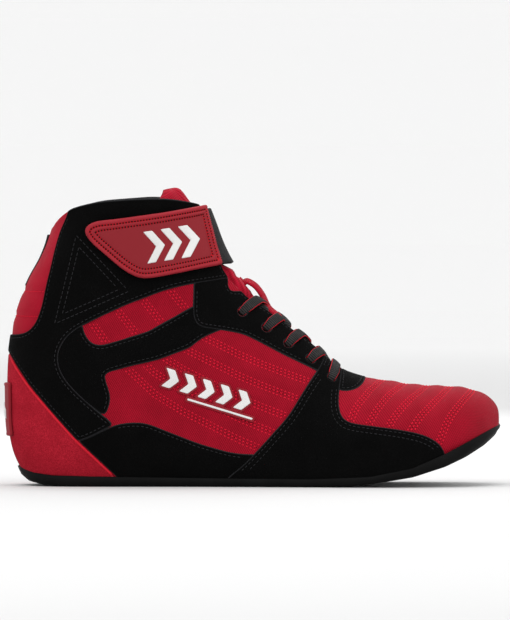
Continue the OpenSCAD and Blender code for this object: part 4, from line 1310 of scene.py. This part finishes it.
def make_tongue():
    corner_r = 14

    def field(p):
        width = np.abs(p[:, 1])
        low = np.minimum(in_side_view(TONGUE_LOW)(p), 24 - width)
        below = 180 - 12.5 * (width / 35) ** 3 - p[:, 2]
        ahead = np.minimum(p[:, 0] + 62, 35 - width * 0.97)
        corner = corner_r - np.hypot(*(corner_r - np.minimum(side, corner_r) for side in (below, ahead)))
        top = np.min([below, ahead, corner], axis=0)
        return np.maximum(low, np.where(p[:, 2] > 112, top, -9.0))

    def height(t, q, d):
        low, high = tongue_depths(t, q)
        return (high - low) * edge_round(d, 1.0, 3.2, 0.3)

    region = Region(field, (8, LAST), (-0.75, 0.75))
    finish_piece(panel("tongue", region, lambda t, q: tongue_depths(t, q)[0], height, TONGUE_KNIT,
                       (0.5, 1.1, 2.0, 3.2), 1.9), "mesh_red", "tongue", padded=0.5)


KEEPER = np.array([
    [-8, 121.5], [-5.2, 119.3], [-2.6, 120.2], [2.2, 117.3], [6.2, 112], [8.6, 106.8], [10.6, 103.7],
    [14.5, 100.5],
])


def make_keeper():
    """The webbing loop sewn to the tongue over the top crossing of the laces."""
    line = through(KEEPER, np.linspace(0, len(KEEPER) - 1, 60))
    along = np.gradient(line, axis=0)
    up = unit(np.stack([-along[:, 1], along[:, 0]], axis=1))
    up *= np.sign(up[:, 1:2])
    ring = [(-4.5, -0.25), (-4.2, -0.55), (4.2, -0.55), (4.5, -0.25), (4.5, 0.25), (4.2, 0.55), (-4.2, 0.55),
            (-4.5, 0.25)]
    verts, uv = [], []
    for place, lifted, length in zip(line, up, run_length(line)):
        for y, h in ring:
            x, z = place + lifted * (h * 1.3 + y * 0.26)
            verts.append((x, y, z))
            uv.append((length, y))
    made = new_object("tongue_lace_keeper", verts, strip_faces(len(line), len(ring)), WEBBING_RED, {"mm": uv})
    finish_piece(made, "webbing_red", "tongue_lace_keeper")


LACE_W, LACE_T = 5.8, 1.9
LACE_PINCHED = 0.72                  # share of its width in an eyelet
LACE_OVER, LACE_TUCKED = 2.3, -2.1   # its depths over the eyestay and at its ends
# (angle from the top line, depth) of each half's crossings, from one eyelet to the next
CROSS_LOW = [
    (30, -5.2), (22, -5.2), (15, -4.2), (8, -2.0), (0, -1.8), (-9, -0.4), (-14, 1.2), (-18, 2.3), (-27, 2.5),
    (-33, 0),
]
CROSS_HIGH = [
    (30, -5.2), (22, -5.2), (17.5, -4.8), (12, -1.4), (8, 0.0), (0, 0.1), (-9, 1.0), (-17, 2.5), (-27, 2.5),
    (-33, 0),
]
# (section, angle) of the hidden ends
LACE_END = [
    (12.93, 31), (12.9, 40), (12.75, 55), (12.6, 70), (12.8, 84), (13.4, 93), (14.2, 96), (15, 94),
    (15.8, 88), (16.2, 78), (16, 68), (15.4, 62), (14.7, 62),
]


def lace_half(crossing):
    """Stops from the middle of the bottom bar to one end: (section, angle, depth, share of full width)."""
    low = EYELETS[0]
    stops = [(low, 12, 2.4, 1), (low, 26, LACE_OVER + 0.4, 1), (low, EYELET_ANGLE, 0, LACE_PINCHED)]
    for i, (here, after) in enumerate(zip(EYELETS[:-1], EYELETS[1:])):
        side = 1 if i % 2 == 0 else -1
        for angle, depth in crossing:
            t = here + (after - here) * (EYELET_ANGLE - angle) / (2 * EYELET_ANGLE)
            stops.append((t, side * angle, depth, LACE_PINCHED if abs(angle) == EYELET_ANGLE else 1))
    return stops + [(t, angle, LACE_TUCKED, 1) for t, angle in LACE_END]


def make_lace():
    first = [(t, -a, d, w) for t, a, d, w in lace_half(CROSS_LOW)]
    stops = np.array(first[::-1] + [(EYELETS[0], 0, 1.9, 1)] + lace_half(CROSS_HIGH))
    t, angle = stops[:, 0], stops[:, 1]
    raw = form_point(t, angle)
    knots = raw + normal_at(*np.array([locate(p) for p in raw]).T) * stops[:, 2:3]
    at = np.arange(0, len(stops) - 1, 1 / 12)
    line = through(knots, at)
    width = between(stops[:, 3:], at) * LACE_W / 2
    toward = between(form_point(t - 0.3, angle) - form_point(t + 0.3, angle), at)
    along = unit(np.gradient(line, axis=0))
    wide = unit(toward - along * (toward * along).sum(1, keepdims=True))
    high = np.cross(along, wide)
    length = run_length(line)
    upper = [(1, 0.2), (0.93, 0.42), (0.5, 0.5), (0, 0.53), (-0.5, 0.5), (-0.93, 0.42), (-1, 0.2)]
    ring = upper + [(-a, -b) for a, b in upper]
    verts = np.stack([line + wide * width * a + high * LACE_T * b for a, b in ring], axis=1)
    uv = np.stack([np.stack([length, np.full(len(length), a * LACE_W / 2)], axis=1) for a, _ in ring], axis=1)
    made = new_object("lace", verts.reshape(-1, 3), strip_faces(len(line), len(ring)), LACE_BLACK,
                      {"mm": uv.reshape(-1, 2)})
    finish_piece(made, "lace_black", "lace")
    verts, faces = [], []
    for side in (-1, 1):
        tube, tube_faces = tube_along(line + wide * width * side * 0.97, 0.36, 6)
        faces += [tuple(np.array(f) + len(verts)) for f in tube_faces]
        verts += tube.tolist()
    finish_piece(new_object("lace_edges", verts, faces, LACE_EDGE), "lace_black")


# ---------------------------------------------------------------- inside: lining, collar and insole

def make_lining():
    field = both(lambda p: below_rim(p) - 1, lambda p: p[:, 2] - seat_height(p[:, 0]) - 3,
                 clear_of_throat, clear_of_eyelets)

    def depth(t, q):
        return -4.0 - 3.0 * soft_step(look(POINT, t, q)[:, 2], 122, 4)

    finish_piece(panel("lining", Region(field), depth, lambda t, q, d: np.full(len(t), 1.2), LINING, (), 3.0,
                       form_uv),
                 "lining", "vamp_lining", "quarter_lining_lateral", "quarter_lining_medial", "collar_lining")


# (distance down from the rim, depth) round the collar's roll
COLLAR_ROLL = [
    (3.5, -1.6), (1.3, -1.2), (1.1, 0.0), (-0.1, -0.1), (-1.0, -1.6), (-1.3, -4.2), (-0.6, -6.4), (1.8, -8.0),
    (6, -8.7), (14, -8.6), (24, -8.3), (34, -7.6), (40, -6.6), (40, -4.5), (20, -4.0),
]


def make_collar():
    """The padded roll round the collar's edge, from one side of the tongue round the back to the other."""
    spacing = 2.0
    rim = Region(both(below_rim, clear_of_throat, lambda p: p[:, 2] - 120), UPPER, (-1, 1), 0.8, spacing)
    t, q, _ = max(rim.loops, key=lambda loop: len(loop[0]))
    on_rim = np.abs(below_rim(look(POINT, t, q))) < 0.6
    start = int(np.argmax(~on_rim & np.roll(on_rim, -1)))
    t, q, on_rim = (np.roll(values, -start - 1) for values in (t, q, on_rim))
    t, q = t[on_rim], q[on_rim]
    normal = normal_at(t, q)
    down = np.array([0.12, 0, -1.0])
    down = unit(down - normal * (normal @ down)[:, None])
    rings = []
    for fall, depth in COLLAR_ROLL:
        if fall > 0:
            rings.append(skin(*move(t, q, down * fall), depth))
        else:
            rings.append(look(POINT, t, q) + normal * depth + np.array([0, 0, -fall]))
    falls = [fall for fall, _ in COLLAR_ROLL]
    uv = np.stack([np.repeat(np.arange(len(t)) * spacing, len(falls)), np.tile(falls, len(t))], axis=1)
    verts = np.stack(rings, axis=1).reshape(-1, 3)
    made = new_object("collar_padding", verts, strip_faces(len(t), len(falls)), LINING, {"mm": uv})
    smooth = made.modifiers.new("smooth", "SUBSURF")
    smooth.levels = smooth.render_levels = 1
    finish_piece(made, "lining", "collar_foam", padded=0.7)


def plan_sheet(name, outline, low, high, mat, grain):
    """A closed sheet over a plan outline between two heights, functions of x, y and edge distance."""
    lo, hi = outline.min(axis=0), outline.max(axis=0)
    rows, columns = (np.arange(lo[k], hi[k], grain) for k in range(2))
    gx, gy = (g.ravel() for g in np.meshgrid(rows, columns, indexing="ij"))
    inside = polygon_field(outline, gx, gy) > grain * 0.5
    pts = np.concatenate([outline, np.stack([gx[inside], gy[inside]], axis=1)])
    n = len(outline)
    rim = [(k, (k + 1) % n) for k in range(n)]
    verts, _, faces, _, _, _ = delaunay_2d_cdt([Vector(p) for p in pts], rim, [], 0, 1e-5)
    xy = np.array([(v.x, v.y) for v in verts])
    faces = np.array([f for f in faces if len(f) == 3])
    middle = xy[faces].mean(axis=1)
    faces = faces[polygon_field(outline, middle[:, 0], middle[:, 1]) > 0]
    a, b, c = (xy[faces[:, k]] for k in range(3))
    turn = (b[:, 0] - a[:, 0]) * (c[:, 1] - a[:, 1]) - (b[:, 1] - a[:, 1]) * (c[:, 0] - a[:, 0])
    faces[turn < 0] = faces[turn < 0][:, ::-1]
    x, y = xy.T
    edge = np.maximum(polygon_field(outline, x, y), 0)
    top, bottom = (np.column_stack([xy, height(x, y, edge)]) for height in (high, low))
    return closed_sheet(name, top, bottom, faces, mat, xy, edge)


def make_insole():
    """A sheet over the outline where the upper's inside meets the seat."""
    sections, ring_places = np.linspace(0.5, 20, 400), np.linspace(0.3, 1.7, 400)
    t, q = (g.ravel() for g in np.meshgrid(sections, ring_places, indexing="ij"))
    inner = skin(t, q, -4.3)
    near = np.abs(inner[:, 2] - seat_height(inner[:, 0]) - 6.2) < 0.35
    band = inner[near][:, :2]
    squash = 2.6         # makes the foot about as wide as it is long, so that the rays are even
    angle = np.arctan2(band[:, 1] * squash, band[:, 0])
    outline = []
    for ray in np.radians(np.arange(0, 360, 4)):
        gap = np.abs((angle - ray + math.pi) % (2 * math.pi) - math.pi)
        outline.append(band[gap.argmin()])
    made = plan_sheet("insole", rounded(outline, 3), lambda x, y, e: seat_height(x) + 2.3,
                      lambda x, y, e: seat_height(x) + 5.2 + 1.6 * np.exp(-e / 6), INSOLE_FABRIC, 3.0)
    finish_piece(made, "insole_fabric", "insole")


# ---------------------------------------------------------------- sole

def smooth_closed(points, steps):
    """A smooth closed outline through points."""
    around = [np.roll(points, -k, axis=0)[:, None] for k in (-1, 0, 1, 2)]
    return spline(*around, (np.arange(steps) / steps)[:, None]).reshape(-1, 2)


def tread_grooves(x, y, e):
    """Depth of the tread pattern: rings round the pivot point under the ball, zigzags elsewhere."""
    ring = np.hypot(x - 72, y - 2)
    zigzag = x + 3.2 * np.abs((y / 9) % 2 - 1) * 2
    wave = np.where(ring < 25, ring / 5, zigzag / 6)
    groove = soft_step(np.cos(2 * math.pi * wave), 0.55, 1 / 9)
    return np.maximum(groove, hump(ring, 26.5, 0.9)) * np.clip((e - 3.5) / 1.5, 0, 1)


def make_outsole():
    outline = smooth_closed(SOLE_PLAN, 9)
    along = np.roll(outline, -1, axis=0) - np.roll(outline, 1, axis=0)
    out = unit(np.stack([along[:, 1], -along[:, 0]], axis=1))
    seat, tread = seat_height(outline[:, 0]), tread_height(outline[:, 0])
    rise = np.maximum(seat - tread, 1.0)
    bottom_edge = -1.6
    rows = [
        (-6.0, seat - 0.6), (-2.6, seat - 0.3), (-0.9, seat + 0.5), (-0.35, seat + 0.55), (0.0, seat + 0.1),
        (0.25, tread + rise * 0.6), (0.1, tread + rise * 0.3), (-0.5, tread + rise * 0.12),
        (bottom_edge, tread + 0.02),
    ]
    verts = np.concatenate([np.column_stack([outline + out * shift, z]) for shift, z in rows])
    open_faces = strip_faces(len(rows), len(outline))[:-2]
    wall = new_object("outsole_wall", verts, open_faces, RUBBER_BLACK)
    bottom = plan_sheet("outsole", outline + out * bottom_edge,
                        lambda x, y, e: tread_height(x) + 1.1 * tread_grooves(x, y, e),
                        lambda x, y, e: np.maximum(seat_height(x) - 0.7, tread_height(x) + 1.5),
                        RUBBER_BLACK, 1.1)
    wall.data.flip_normals()
    bpy.ops.object.select_all(action="DESELECT")
    wall.select_set(True)
    bottom.select_set(True)
    bpy.context.view_layer.objects.active = bottom
    bpy.ops.object.join()
    finish_piece(bottom, "sole_rubber", "outsole")


def paint_cad(node, mat):
    """A better material for a CAD node that stays."""
    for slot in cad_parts[node].material_slots:
        slot.material = mat


make_lace()
make_outsole()
make_insole()
make_lining()
make_collar()
make_shell()
make_heel_pad()
make_suede()
make_ankle_triangle()
make_heel_trims()
make_tongue()
make_keeper()
make_strap()
make_emblems()
paint_cad("lasting_board", BOARD)
paint_cad("heel_stiffener", STIFFENER)
